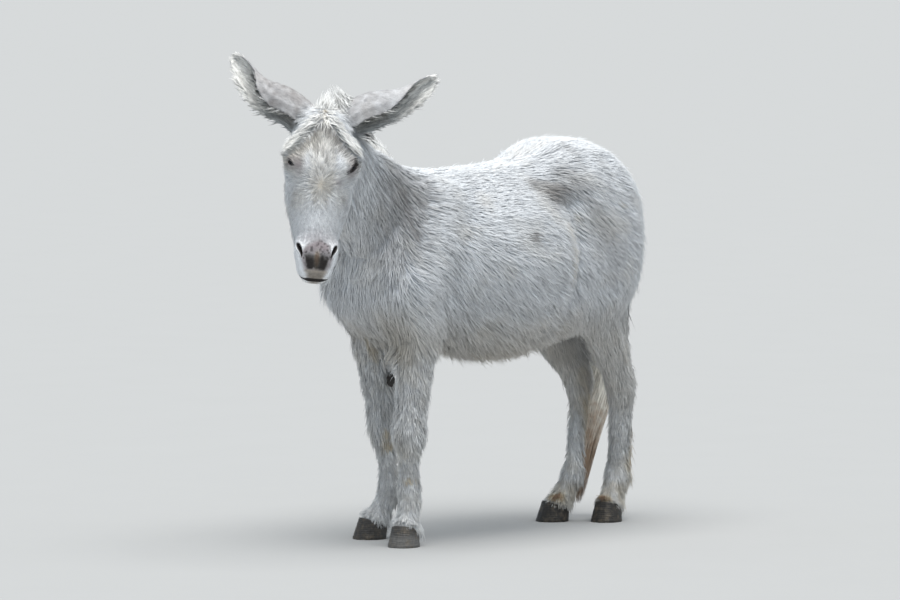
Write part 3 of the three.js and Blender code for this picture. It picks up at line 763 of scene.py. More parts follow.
def mark_body(marks, points, head_part, leg_part):
    """The stains and painted shade, the cream and taupe that the coat behind the head is mottled with, and
    painted shade with cream low on the belly.
    """
    ragged, broad = marks.ragged, marks.broad
    for which, amount, reach, node, *places in STAINS_AND_SHADE:
        for place in places:
            here = near(points, at(node, *place), reach)
            marks.add(which, amount * ramp(here * (0.5 + ragged), 0.12, 0.85))
    marks.add(CREAM, 0.12 * ramp(broad, 0.45, 0.9) * (1 - head_part))
    marks.add(TAUPE, 0.16 * ramp(broad, 0.50, 0.1) * (1 - head_part))
    marks.add(CREAM, leg_part * (0.05 + 0.13 * ragged))
    marks.add(TAUPE, leg_part * 0.09 * ramp(ragged + 0.25 * broad, 0.66, 0.95))
    # The belly is painted darker towards the bottom, as shade, and warmer with cream.
    low = (1 - leg_part) * (1 - head_part) * ramp(points[:, 2], BELLY_HIGH, BELLY_LOW)
    marks.add(TAUPE, 0.26 * low)
    marks.add(CREAM, 0.24 * low)


def mark_ears(marks, ear_part, inside_ear):
    """Grey-brown backs, darker on the right ear, and insides with a little cream."""
    marks.add(CREAM, ear_part * inside_ear * 0.12)
    far_ear = ramp(marks.face[:, 0], 0.02, -0.02)
    back = ear_part * (1 - inside_ear)
    marks.add(TAUPE, back * (0.48 + 0.16 * far_ear) * (0.6 + 0.8 * marks.ragged))
    marks.add(PINK, back * 0.14)


def mark_muzzle(marks, head_part):
    """The bare mauve skin round nose and mouth, black below, with a pale stripe between the nostrils.
    Returns how fully each point is muzzle."""
    x, y, z = marks.face.T
    ragged, fine = marks.ragged, marks.fine
    half_width = np.interp(z, [-0.500, -0.440], [0.033, 0.047])
    egg = 1 - np.hypot((x - 0.001) / half_width, (z + 0.446) / 0.060)
    muzzle = head_part * ramp(egg + 0.20 * (ragged - 0.5), -0.09, 0.20) * ramp(y, 0.035, 0.01)
    marks.add(PINK, muzzle * 0.9)
    creamy = head_part * 0.16 * ramp(marks.broad, 0.3, 0.8) * (1 - muzzle)
    marks.add(CREAM, creamy * (1 - 0.8 * ramp(z, -0.26, -0.32)))
    lower = ramp(z + 0.026 * (ragged - 0.5), -0.410, -0.446) * (1 - 0.7 * ramp(z, -0.472, -0.476))
    dark_width = np.interp(z, [-0.485, -0.425], [0.026, 0.043]) + 0.010 * (ragged - 0.5)
    lower = lower * ramp(np.abs(x - 0.001) - dark_width, 0.004, -0.008)
    marks.add(TAUPE, 0.95 * muzzle * lower)
    marks.add(DARK, 0.97 * muzzle * lower**1.5 * ramp(0.5 * fine + 0.5 * ragged, 0.10, 0.38))
    marks.add(TAUPE, 0.35 * muzzle * (1 - lower))
    marks.add(DARK, 0.65 * muzzle * ramp(fine + 0.25 * ragged, 0.68, 0.80))
    stripe = near(marks.face, [0.001, -0.062, -0.445], [0.0075, 0.05, 0.021])
    lip = muzzle * ramp(z, -0.470, -0.476)
    marks.keep(PINK, 1 - 0.92 * np.maximum(muzzle * lower, lip))
    marks.keep(DARK, 1 - 0.70 * lip)
    marks.add(TAUPE, 0.60 * lip)
    marks.add(CREAM, 0.42 * lip)
    for which, left in ((DARK, 0.75), (TAUPE, 0.0), (PINK, 0.3)):
        marks.keep(which, 1 - (1 - left) * muzzle * stripe)
    marks.add(CREAM, np.minimum(1.5 * muzzle * stripe, 0.92))
    marks.add(PINK, 0.16 * muzzle * stripe)
    return muzzle


def mark_mouth(marks, head_part, muzzle):
    """Pinkish skin above the muzzle, and the black edges of the lips, with painted shade along the line of
    the mouth.
    """
    x, _, z = marks.face.T
    behind, before_corner = mouth_height(marks.face)
    marks.add(PINK, 0.04 * head_part * ramp(z, -0.28, -0.34) * (1 - muzzle))
    nose = near(marks.face, [0.001, -0.075, -0.384], [0.075, 0.06, 0.026])
    marks.add(PINK, 0.50 * head_part * nose * (1 - muzzle))
    lip_line = np.interp(np.abs(x), [0.020, 0.040], [0.0120, 0.0050])
    lips = ramp(behind + lip_line, 0, 0.0025) * ramp(behind, 0.016, 0.011)
    lips = lips * before_corner * ramp(z, -0.40, -0.42) * ramp(np.abs(x), 0.046, 0.036)
    # black lips, and painted shade in the line of the mouth between them
    marks.add(DARK, head_part * 0.97 * lips)


def mark_openings(marks, head_part):
    """Nostrils black with their skin and with painted shade inside, and eyes rimmed with black in a mauve
    ring.
    """
    for side in (1, -1):
        rim, depth = nostril_reach(marks.face, side)
        # black skin on the rims of the nostrils, and painted shade inside them
        marks.add(DARK, head_part * ramp(rim, 1.30, 1.0) * ramp(np.abs(depth), 0.04, 0.03))
        outside, reach, _, front = round_eye(marks.face, side)
        lidded = head_part * front * ramp(reach, 0.034, 0.030)
        marks.add(DARK, lidded * 0.97 * ramp(outside, *LIDS_DARK[side]))
        marks.add(PINK, lidded * 0.40 * ramp(outside, 0.015, 0.006))
        marks.add(TAUPE, lidded * 0.30 * ramp(outside, 0.020, 0.010))
    for width, places in EYE_LINES:
        marks.add(DARK, 0.92 * head_part * bell(to_line(marks.face, places), width))


def mark_face(marks, head_part):
    """The smudges and painted shade under the left eye, brown and painted shade among the strands that fan
    out from the whorl, and the painted shadow and parting of the forelock.
    """
    x, y, z = marks.face.T
    ragged = marks.ragged
    for which, amount, place, reach in SMUDGES_AND_SHADE:
        marks.add(which, amount * head_part * near(marks.face, place, reach) * (0.5 + 0.7 * ragged))
    heart = head_part * head_parts(marks.face)["heart"]
    radius = np.hypot(x - WHORL[0], z - WHORL[2])
    fan = columns(np.arctan2(x - WHORL[0], z - WHORL[2]) * 0.05, 0.25 * radius, 0 * x)
    strands = 0.5 + 0.5 * noise_at(fan, 0.006, 11)
    # taupe among the fanned strands: brown hair, with painted shade between the strands
    marks.add(TAUPE, 0.42 * heart * ramp(strands, 0.42, 0.72))
    marks.add(CREAM, 0.16 * heart)
    marks.add(CREAM, 0.22 * head_part * near(marks.face, WHORL, [0.015, 0.03, 0.020]))
    whorl = near(marks.face, WHORL, [0.014, 0.03, 0.020])
    marks.add(TAUPE, 0.42 * head_part * whorl * (0.5 + 0.7 * strands))
    above = above_brow(marks.face)
    shadowed = ramp(above, -0.030, -0.008) * ramp(above, 0.003, -0.003) * ramp(y, 0.0, -0.03)
    marks.add(TAUPE, head_part * shadowed * ramp(np.abs(x), 0.084, 0.064) * (0.25 + 0.6 * ragged))
    parting = head_part * bell(x, 0.006) * ramp(above, 0.0, 0.02) * ramp(y, 0.05, 0.0)
    marks.add(CREAM, 0.40 * parting * (0.6 + 0.6 * ragged))


def mark_ear_shade(marks, ear_part, inside_ear):
    """Painted black shade in the depths of the ears, and painted grey-brown shade on the backs behind them.
    """
    for place in EAR_SHADE_SPOTS:
        deep, behind = near(marks.face, place, 0.022), near(marks.face, place, 0.055)
        marks.add(DARK, 0.85 * ear_part * inside_ear * deep * (0.5 + marks.ragged))
        marks.add(TAUPE, 0.45 * ear_part * (1 - inside_ear) * behind * (0.4 + marks.ragged))


def marks_at(points, head_part, leg_part, ear_part, inside_ear):
    """The markings and painted shade at points on or near the skin, one column each. The parts say how fully
    each point is head, leg, ear and inside of an ear."""
    marks = Marks(points)
    mark_body(marks, points, head_part, leg_part)
    mark_ears(marks, ear_part, inside_ear)
    muzzle = mark_muzzle(marks, head_part)
    mark_mouth(marks, head_part, muzzle)
    mark_openings(marks, head_part)
    mark_face(marks, head_part)
    mark_ear_shade(marks, ear_part, inside_ear)
    return marks.columns


leg_share = share["forearm"] + share["cannon"] + share["pastern"] + share["hoof"] + 0.4 * share["thigh"]
skin_marks = marks_at(skin, head_share, leg_share, share["ear"], inside_ear)


# ---------------------------------------------------------------- locks of hair


def set_colors(mesh, name, values):
    attribute = mesh.attributes.new(name, "FLOAT_COLOR", "POINT")
    attribute.data.foreach_set("color", np.clip(values, 0, 1).astype(np.float32).ravel())


def set_uvs(mesh, uvs):
    """The map named OFBake, from one place for each point."""
    layer = mesh.uv_layers.new(name="OFBake")
    layer.data.foreach_set("uv", uvs[corners_of(mesh)].astype(np.float32).ravel())


def soften(mesh, outward):
    """Shades locks mostly as the surface that they lie on, so that the coat reads as one soft mass."""
    shaded = unit(normals_of(mesh) * 0.5 + outward)
    mesh.normals_split_custom_set_from_vertices(shaded.tolist())


PATCH = 0.003  # how far a lock's patch reaches on the map


def locks_mesh(name, paths, flats, outs, widths, marks, shades, uvs):
    """Tapering three-sided locks, each along a path of points and as flat as its first normal says."""
    count, steps, _ = paths.shape
    rings = steps - 1
    along = np.linspace(0, 1, steps)
    swell = np.sin(np.pi * (0.24 + 0.76 * along[:-1])) ** 0.8 * (1 - 0.35 * along[:-1])
    tangents = unit(np.gradient(paths, axis=1))[:, :-1]
    ups = unit(flats[:, None] - dot(tangents, flats[:, None])[..., None] * tangents)
    sides = np.cross(tangents, ups)
    half = (0.5 * widths[:, None] * swell)[..., None]
    centres = paths[:, :-1]
    corners = np.stack([centres - sides * half, centres + sides * half, centres + ups * half * 0.8], axis=2)
    each = rings * 3 + 1
    points = np.concatenate([corners.reshape(count, rings * 3, 3), paths[:, -1:]], axis=1)
    faces = []
    for ring in range(rings):
        for corner in range(3):
            a, b = 3 * ring + corner, 3 * ring + (corner + 1) % 3
            if ring == rings - 1:
                faces.append((a, each - 1, b))
            else:
                faces += [(a, a + 3, b + 3), (a, b + 3, b)]
    faces = np.arange(count)[:, None, None] * each + np.array(faces)
    mesh = mesh_of(name, points.reshape(-1, 3), faces.reshape(-1, 3))

    along_each = np.append(np.repeat(along[:-1], 3), 1.0)
    across_each = np.append(np.tile([0, 1, 0.5], rings), 0.5)
    patch = columns(across_each - 0.5, along_each - 0.5) * PATCH
    set_uvs(mesh, (uvs[:, None] + patch).reshape(-1, 2))
    set_colors(mesh, "marks", np.repeat(marks, each, axis=0))
    places = [np.tile(values, count) for values in (along_each, across_each)]
    set_colors(mesh, "lock", columns(*places, *np.repeat(shades, each, axis=0).T))
    soften(mesh, np.repeat(outs, each, axis=0))
    return mesh


def unwrap(mesh):
    """Gives a mesh its map and returns where each point lies on it."""
    carrier = linked("carrier", mesh)
    bpy.context.view_layer.objects.active = carrier
    carrier.select_set(True)
    bpy.ops.object.mode_set(mode="EDIT")
    bpy.ops.mesh.select_all(action="SELECT")
    bpy.ops.uv.smart_project(angle_limit=math.radians(66), island_margin=0.001)
    bpy.ops.object.mode_set(mode="OBJECT")
    bpy.data.objects.remove(carrier)
    layer = mesh.uv_layers[0]
    layer.name = "OFBake"
    where = np.zeros((len(mesh.vertices), 2))
    where[corners_of(mesh)] = read(layer.data, "uv", 2)
    return where


def areas_of(corners):
    """The areas of triangles, from the points at their corners."""
    a, b, c = corners.transpose(1, 0, 2)
    return 0.5 * np.linalg.norm(np.cross(b - a, c - a), axis=1)


def random_weights(count):
    """Weights of three corners, which scatter places evenly over triangles."""
    a, b = rng.random((2, count))
    a, b = np.where(a + b > 1, (1 - a, 1 - b), (a, b))
    return columns(1 - a - b, a, b)


skin_uv = unwrap(skin_mesh)
skin_mesh.calc_loop_triangles()
triangles = read(skin_mesh.loop_triangles, "vertices", 3, np.int32)
areas = areas_of(skin[triangles])


def scattered(density):
    """Even but unruled places on the skin, with that many a square metre: triangles and their weights."""
    expected = np.cumsum(density[triangles].mean(axis=1) * areas)
    count = int(expected[-1])
    which = np.searchsorted(expected, np.arange(count) + rng.random(count))
    return triangles[np.minimum(which, len(triangles) - 1)], random_weights(count)


def carried(values, where):
    """What a mesh's points carry, at scattered places."""
    corners, weights = where
    if values.ndim == 1:
        return (values[corners] * weights).sum(axis=1)
    return (values[corners] * weights[..., None]).sum(axis=1)


def nearest_seed(points, seeds):
    tree = KDTree(len(seeds))
    for index, seed in enumerate(seeds.tolist()):
        tree.insert(seed, index)
    tree.balance()
    return np.array([tree.find(point)[1] for point in points.tolist()])


LOCK_TURN = 0.11  # radians, by which locks turn from the lie of the coat
STRAYS, STRAY_RISE = 0.03, 0.16  # that share of the locks stands off, by so much of their length


def body_locks(
    density, steps, longer=1.0, wider=1.0, deeper=1.0, upright=0.0, drop=0.0, gathered=1.0,
    raised=0.0, seen=0.55,
):
    """Locks that lie over the skin in clumps: their paths and all that goes with them. density is how many
    grow on a square metre, and steps how many points each has. longer, wider, deeper and gathered multiply
    what the coat's rows say. upright and drop are how far a lock stands off and hangs down, as shares of its
    length. raised turns what the locks are shaded by to the sky, and seen is how far along a lock its
    marking is read."""
    where = scattered(density)
    longer = carried(longer * np.ones(len(skin)), where)
    roots = carried(skin, where)
    out = unit(carried(normals, where))
    way = flat_on(carried(lie, where), out)
    rows = carried(coat, where)
    count = len(roots)
    way = turned(way, out, rng.normal(0, LOCK_TURN, count))
    length = rows[:, LENGTH] * rng.uniform(0.72, 1.22, count) * longer
    height = rows[:, DEPTH] * rng.uniform(0.55, 1.12, count) * deeper
    stray = rng.random(count) < STRAYS
    height = np.minimum(height + (upright + STRAY_RISE * stray) * length, 0.9 * length)
    reach = np.sqrt(length**2 - height**2)

    seed_where = scattered(np.minimum(density, 1 / np.maximum(coat[:, CLUMP], 0.004) ** 2))
    seeds = carried(skin, seed_where)
    tips = roots + way * reach[:, None]
    seed_rows = carried(coat, seed_where)
    seed_way = flat_on(carried(lie, seed_where), unit(carried(normals, seed_where)))
    seed_tips = seeds + seed_way * (seed_rows[:, LENGTH] * 0.95 * longer.mean())[:, None]
    mine = nearest_seed(roots, seeds)
    gather = np.minimum(rows[:, GATHER] * gathered, 1)
    pull = (seed_tips[mine] - tips) * (gather * rng.uniform(0.5, 1.2, count))[:, None]
    pull -= 0.85 * dot(pull, way)[:, None] * way
    pull *= np.minimum(1, rows[:, CLUMP] * 1.2 / np.maximum(np.linalg.norm(pull, axis=1), 1e-6))[:, None]
    clump_rise = np.clip(1 + 0.40 * gather * rng.normal(0, 1, len(seeds))[mine], 0.5, 1.6)
    closeness = bell(np.linalg.norm(roots - seeds[mine], axis=1), 0.6 * rows[:, CLUMP])
    height = height * clump_rise * (1 + gather * (0.60 * closeness - 0.35))

    s = np.linspace(0, 1, steps)[None, :, None]
    paths = roots[:, None] + way[:, None] * (reach[:, None, None] * s)
    paths = paths + out[:, None] * (height[:, None, None] * (1 - (1 - s) ** 1.7) - 0.0012 * (1 - s))
    paths = paths + pull[:, None] * s**1.4
    paths[..., 2] -= (drop * length)[:, None] * s[..., 0] ** 2
    curl = turned(way, out, np.full(count, math.pi / 2)) * (rng.normal(0, 0.05, count) * length)[:, None]
    paths = paths + curl[:, None] * np.sin(2.6 * s * math.pi / 2)
    widths = rows[:, WIDTH] * rng.uniform(0.7, 1.3, count) * wider
    clump_tone = 0.5 + 2.8 * gather * (rng.random(len(seeds))[mine] - 0.5)
    shades = columns(rng.random(count), clump_tone)
    part = [carried(values, where) for values in (head_share, leg_share, share["ear"], inside_ear)]
    marked = marks_at(roots + way * (seen * reach)[:, None], *part)
    shaded_by = unit(out + raised * np.array([0, 0, 1]))
    return paths, out, shaded_by, widths, marked, shades, carried(skin_uv, where)


LOWEST_HAIR = 0.008  # no lock hangs lower over the floor
MOST_TRIANGLES = 199000  # in one piece


def add_locks(name, locks, material, slot, *replaced):
    """Locks as a piece or, where they are many, as several with numbered names."""
    paths, *rest = locks
    paths[..., 2] = np.maximum(paths[..., 2], LOWEST_HAIR)
    each = 6 * (paths.shape[1] - 2) + 3  # triangles in a lock
    parts = max(1, math.ceil(len(paths) * each / MOST_TRIANGLES))
    for index, chosen in enumerate(np.array_split(np.arange(len(paths)), parts)):
        title = name if parts == 1 else f"{name}_{index + 1}"
        mesh = locks_mesh(title, paths[chosen], *(values[chosen] for values in rest))
        piece_of(title, mesh, material, slot, *(replaced if index == 0 else ()))


# ---------------------------------------------------------------- materials


class Shade:
    """A node material under construction."""

    def __init__(self, name, **surface):
        self.material = bpy.data.materials.new(name)
        self.material.use_nodes = True
        self.tree = self.material.node_tree
        self.surface = self.tree.nodes["Principled BSDF"]
        self.set(**surface)

    def set(self, **inputs):
        for key, value in inputs.items():
            self.put(self.surface.inputs[key.replace("_", " ")], value)

    def put(self, socket, value):
        if isinstance(value, bpy.types.NodeSocket):
            self.tree.links.new(value, socket)
        else:
            socket.default_value = value

    def node(self, kind, inputs, **settings):
        made = self.tree.nodes.new("ShaderNode" + kind)
        for key, value in settings.items():
            setattr(made, key, value)
        for key, value in inputs.items():
            self.put(made.inputs[key], value)
        return made

    def math(self, operation, a, b=0.0, clamp=False):
        return self.node("Math", {0: a, 1: b}, operation=operation, use_clamp=clamp).outputs[0]

    def fit(self, value, low, high, start=0.0, end=1.0):
        inputs = {"Value": value, "From Min": low, "From Max": high, "To Min": start, "To Max": end}
        return self.node("MapRange", inputs, clamp=True).outputs[0]

    def mix(self, share, a, b, blend="MIX"):
        inputs = {0: share, 6: a, 7: b}
        return self.node("Mix", inputs, data_type="RGBA", blend_type=blend).outputs[2]

    def attribute(self, name):
        found = self.node("Attribute", {}, attribute_name=name)
        parts = self.node("SeparateColor", {"Color": found.outputs["Color"]})
        return [*parts.outputs, found.outputs["Alpha"]]

    def place(self):
        return self.node("TexCoord", {}).outputs["Object"]

    def noise(self, vector, scale, detail=3.0, rough=0.6):
        inputs = {"Vector": vector, "Scale": scale, "Detail": detail, "Roughness": rough}
        return self.node("TexNoise", inputs).outputs["Fac"]

    def bump(self, height, strength, distance):
        inputs = {"Height": height, "Strength": strength, "Distance": distance}
        self.set(Normal=self.node("Bump", inputs).outputs["Normal"])


WHITE = (0.90, 0.92, 0.94, 1)
DEEP_SHADE = (0.58, 0.63, 0.70, 1)  # painted shade, down between the locks and on the skin under them
# taupe hair, and also painted shade on the neck, in the flank fold, between the hind legs, under the belly
# and the brow
TAUPE_HAIR_AND_SHADE = (0.185, 0.165, 0.150, 1)
CREAM_HAIR = (0.64, 0.53, 0.35, 1)
RUST_HAIR = (0.24, 0.125, 0.055, 1)
# black skin, and also painted shade in the depths of the ears, in the nostrils and along the mouth
BLACK_SKIN_AND_SHADE = (0.016, 0.013, 0.012, 1)
# mauve skin, and also painted shade under the left eye
MAUVE_SKIN_AND_SHADE = (0.30, 0.25, 0.26, 1)


def coat_tones(shade, along):
    """The colours that skin and locks share: white over painted grey shade in the depths, with the markings
    on it.
    """
    taupe, cream, dark, pink = shade.attribute("marks")
    # painted shade: grey at the roots, white from 0.6 of a lock's length on
    color = shade.mix(shade.fit(along, 0.0, 0.60), DEEP_SHADE, WHITE)
    warm = shade.mix(shade.fit(cream, 0.5, 1.0), CREAM_HAIR, RUST_HAIR)
    color = shade.mix(shade.fit(cream, 0.0, 0.62, 0.0, 0.95), color, warm)
    color = shade.mix(shade.math("MULTIPLY", taupe, 0.92), color, TAUPE_HAIR_AND_SHADE)
    color = shade.mix(pink, color, MAUVE_SKIN_AND_SHADE)
    return shade.mix(dark, color, BLACK_SKIN_AND_SHADE)


def dimmed(shade, color, amount):
    """A colour times a grey."""
    grey = shade.node("CombineColor", {0: amount, 1: amount, 2: amount}).outputs[0]
    return shade.mix(1.0, color, grey, "MULTIPLY")


def hair_material(name, roughness=0.66, tint=None):
    shade = Shade(name, Roughness=roughness, Sheen_Weight=0.12, Sheen_Roughness=0.5)
    along, across, random, clump = shade.attribute("lock")
    apart = shade.math("MULTIPLY", random, 61.0)  # so that each lock has streaks of its own
    strand = shade.node("CombineXYZ", {0: shade.math("MULTIPLY", across, 3.2), 1: along, 2: apart}).outputs[0]
    streak = shade.noise(strand, 2.4, 2.0)
    color = coat_tones(shade, along)
    if tint:
        color = tint(shade, color, along)
    light = shade.math("ADD", shade.fit(streak, 0.3, 0.7, 0.80, 1.06), shade.fit(random, 0, 1, -0.10, 0.06))
    light = shade.math("ADD", light, shade.fit(clump, 0, 1, -0.17, 0.13))
    shade.set(Base_Color=dimmed(shade, color, light))
    shade.bump(streak, 0.35, 0.0012)
    return shade.material


def skin_material():
    shade = Shade("skin", Roughness=0.68, Specular_IOR_Level=0.18)
    along, *_ = shade.attribute("lock")
    place = shade.place()
    grain = shade.noise(place, 240.0, 4.0)
    color = coat_tones(shade, along)
    shade.set(Base_Color=dimmed(shade, color, shade.fit(grain, 0.3, 0.7, 0.82, 1.06)))
    pores = shade.noise(place, 520.0, 3.0)
    shade.bump(shade.math("ADD", grain, pores), 0.45, 0.0014)
    return shade.material


def tail_tint(shade, color, _):
    """Cream wool down to the hocks, and rust and brown below."""
    place = shade.place()
    height = shade.node("SeparateXYZ", {0: place}).outputs[2]
    matted = shade.noise(place, 34.0, 3.0)
    rusty = shade.math("ADD", shade.fit(height, 0.42, 0.16), shade.fit(matted, 0.3, 0.7, -0.28, 0.28))
    tail = shade.mix(shade.fit(rusty, 0.15, 0.85), (0.90, 0.86, 0.76, 1), (0.46, 0.30, 0.18, 1))
    return shade.mix(0.90, color, tail)


def brow_tint(shade, color, _):
    """Almost white from the root on."""
    return shade.mix(0.72, color, (0.90, 0.89, 0.85, 1))


def crest_tint(shade, color, along):
    """Cream-white, whitest at the tips."""
    return shade.mix(shade.fit(along, 0, 1, 0.40, 0.12), color, (0.70, 0.64, 0.50, 1))


def horn_material():
    shade = Shade("horn", Roughness=0.55)
    tone, *_ = shade.attribute("marks")
    place = shade.place()
    streaks = shade.node("Mapping", {"Vector": place, "Scale": (60.0, 60.0, 6.0)}).outputs[0]
    grain = shade.noise(streaks, 5.0, 4.0)
    dirt = shade.noise(place, 55.0, 4.0)
    color = shade.mix(tone, (0.022, 0.018, 0.014, 1), (0.15, 0.145, 0.138, 1))
    color = shade.mix(shade.fit(dirt, 0.48, 0.68, 0.0, 0.5), color, (0.16, 0.125, 0.085, 1))
    shade.set(Base_Color=dimmed(shade, color, shade.fit(grain, 0.3, 0.7, 0.72, 1.15)))
    shade.bump(grain, 0.35, 0.0012)
    return shade.material


def eye_material():
    shade = Shade("wet_eye", Roughness=0.14, Specular_IOR_Level=0.18, Coat_Weight=0.12, Coat_Roughness=0.04)
    iris, pupil, white, _ = shade.attribute("marks")
    color = shade.mix(iris, (0.006, 0.005, 0.004, 1), (0.022, 0.012, 0.007, 1))
    color = shade.mix(white, color, (0.20, 0.15, 0.13, 1))
    shade.set(Base_Color=shade.mix(pupil, color, (0.002, 0.002, 0.003, 1)))
    return shade.material


def callus_material():
    shade = Shade("callus", Roughness=0.75)
    grain = shade.noise(shade.place(), 160.0, 4.0)
    shade.set(Base_Color=shade.mix(grain, (0.012, 0.010, 0.009, 1), (0.060, 0.050, 0.043, 1)))
    shade.bump(grain, 0.7, 0.0015)
    return shade.material


def floor_material():
    shade = Shade("floor", Roughness=1.0, Specular_IOR_Level=0.0)
    grain = shade.noise(shade.place(), 3.0, 2.0)
    shade.set(Base_Color=shade.mix(grain, (0.40, 0.40, 0.395, 1), (0.41, 0.41, 0.405, 1)))
    return shade.material


# ---------------------------------------------------------------- skin and coat

body_hair = hair_material("coat_hair")
crest_hair = hair_material("crest_hair", tint=crest_tint)
white_hair = hair_material("white_hair", tint=brow_tint)
tail_hair = hair_material("tail_hair", 0.72, tail_tint)

bare = np.clip(head_share * ramp(skin_marks[:, DARK], 0.35, 0.75), 0, 1)
bare = np.maximum(bare, web.spread(hoof.astype(float), 1) > 0.02)
furred_head = np.clip(head_share + share["ear"], 0, 1)
lower_legs = np.clip(leg_share - 0.4 * share["thigh"], 0, 1)
brow = np.clip(head_parts(skin_in_head)["brow"] * head_share, 0, 1)


def add_skin():
    # The deeper the coat, the more of the painted grey shade of the depths the skin under it takes.
    short = 1 - 0.80 * ramp(coat[:, DEPTH], 0.0035, 0.012)
    even = np.full(len(skin), 0.5)
    set_colors(skin_mesh, "marks", skin_marks)
    set_colors(skin_mesh, "lock", columns(short, even, even, even))
    skin_mesh.shade_smooth()
    covered = sorted(node for node in NODES if kind_of(node) and kind_of(node) not in ("eye", "hoof"))
    piece_of("skin", skin_mesh, skin_material(), "coat", *covered)


def add_coat():
    density = (1 - bare) / coat[:, SPACING] ** 2
    for name, weight, slot in (
        ("coat_body", (1 - furred_head) * (1 - lower_legs), "coat"),
        ("coat_legs", lower_legs, "coat"),
        ("coat_face", furred_head * (1 - 0.6 * brow), "face_coat"),
    ):
        add_locks(name, body_locks(density * weight, steps=3), body_hair, slot)


# How the hair that grows over the coat differs from it. body_locks says what these values mean.
STYLES = {
    "brow": dict(
        spacing=0.0036, steps=5, longer=1.15, wider=1.15, deeper=1.7, drop=0.10, raised=0.7, seen=0.0
    ),
    "brow_tuft": dict(spacing=0.0036, steps=5, wider=1.15, upright=0.22, drop=0.20, raised=0.7, seen=0.0),
    "ear_lining": dict(spacing=0.0042, steps=4, longer=2.0, wider=2.6, upright=0.18, gathered=2.0, seen=0.0),
    "ear_fringe": dict(
        spacing=0.0018, steps=5, wider=2.0, upright=0.38, drop=0.16, gathered=2.2, raised=1.0, seen=0.0
    ),
    "coronet_fringe": dict(spacing=0.0028, steps=4, wider=1.1, deeper=1.5, upright=0.06, seen=0.3),
    "between_legs": dict(spacing=0.0034, steps=4, longer=1.15, wider=1.3, upright=0.42),
    "dock_hair": dict(spacing=0.0030, steps=5, longer=1.5, wider=1.3, upright=0.10, drop=0.55, seen=0.0),
}


def add_patch(name, weight, material, slot, **more):
    """More hair where the weight is. Its roots lie as far apart as its style says where that is 1."""
    style = {**STYLES[name], **more}
    density = weight / style.pop("spacing") ** 2
    add_locks(name, body_locks(density, **style), material, slot)


def add_brow():
    """The long hair of the forehead, which hangs over the face, and its tuft over the right eye."""
    add_patch("brow", brow, white_hair, "face_coat")
    tuft = head_share * near(skin_in_head, [-0.080, -0.040, -0.112], [0.016, 0.030, 0.024])
    add_patch("brow_tuft", tuft, white_hair, "face_coat")


def lower_rims():
    """How fully the skin is on the lower edge of an ear, found in steps along the ear."""
    steps, found = 12, np.zeros(len(skin))
    step = np.clip((along_ear * steps).astype(int), 0, steps - 1)
    for side in (1, -1):
        mine = (share["ear"] > 0.1) & (skin_in_head[:, 0] * side > 0)
        there = [mine & (step == index) for index in range(steps)]
        middle = [skin[chosen, 2].mean() if chosen.any() else 0 for chosen in there]
        height = np.interp(along_ear, (np.arange(steps) + 0.5) / steps, middle)
        found = np.where(mine, ramp(skin[:, 2] - height, -0.008, -0.020), found)
    return found


def add_ear_hair():
    """The lining of the ears, and a fringe that hangs from their lower rims and their tips."""
    ear = share["ear"]
    lining = ear * ramp(facing_in, 0.25, 0.6) * ramp(along_ear, 0.08, 0.2)
    lining = lining * (1 - ramp(skin_marks[:, DARK], 0.3, 0.8))
    add_patch("ear_lining", lining, white_hair, "face_coat")
    rim = ear * ramp(np.abs(facing_in), 0.75, 0.40) * ramp(along_ear, 0.12, 0.24)
    fringe = np.maximum(rim * lower_rims(), 0.5 * ear * ramp(along_ear, 0.90, 0.97))
    longer = 2.3 - 1.1 * ramp(along_ear, 0.75, 0.93)
    add_patch("ear_fringe", fringe, white_hair, "face_coat", longer=longer)


def add_coronets():
    """Hair that falls over the hooves from the coronets, longest at the heels."""
    near_hoof = web.spread(hoof.astype(float), 10)
    coronet = lower_legs * (1 - bare) * ramp(near_hoof, 0.004, 0.03) * ramp(normals[:, 2], -0.60, -0.25)
    longer = 1.0 + 0.5 * ramp(normals[:, 1], 0.0, 0.7)
    add_patch("coronet_fringe", coronet, body_hair, "coat", longer=longer)


BETWEEN_LEGS = [
    ("foreleg_right_forearm", 0.85, 0.45, 0.92),
    ("foreleg_left_forearm", 0.20, 0.20, 0.92),
    ("hindleg_right_thigh", 0.85, 0.90, 0.43),
]


def add_between_legs():
    """Longer hair between the legs, which closes the view through."""
    between = np.max([near(skin, at(*place), 0.024) for place in BETWEEN_LEGS], axis=0)
    add_patch("between_legs", between, body_hair, "coat")


def add_dock_hair():
    """Hair of the dock, which hangs over the top of the switch."""
    dock = near(skin, at("tail_dock", 0.5, 0.5, 0.12), [0.04, 0.04, 0.06])
    add_patch("dock_hair", dock, white_hair, "tail_hair")


add_skin()
add_coat()
add_brow()
add_ear_hair()
add_coronets()
add_between_legs()
add_dock_hair()


# ---------------------------------------------------------------- mane, forelock and tail

skin_tree = BVHTree.FromPolygons(skin.tolist(), triangles.tolist())
STANDING_STEPS = 5  # points along a lock
STANDING_WAVE = 0.07  # how far it sways, as a share of its length
TAIL_STEPS = 9
TAIL_CLUMPS = 40
TAIL_LEVELS = 24  # the middle of the switch is found at so many heights


def surface_samples(node, count):
    """Places scattered evenly on a node's surface."""
    points, faces = node_mesh(node)
    sizes = areas_of(points[faces])
    which = rng.choice(len(faces), count, p=sizes / sizes.sum())
    return carried(points, (faces[which], random_weights(count)))


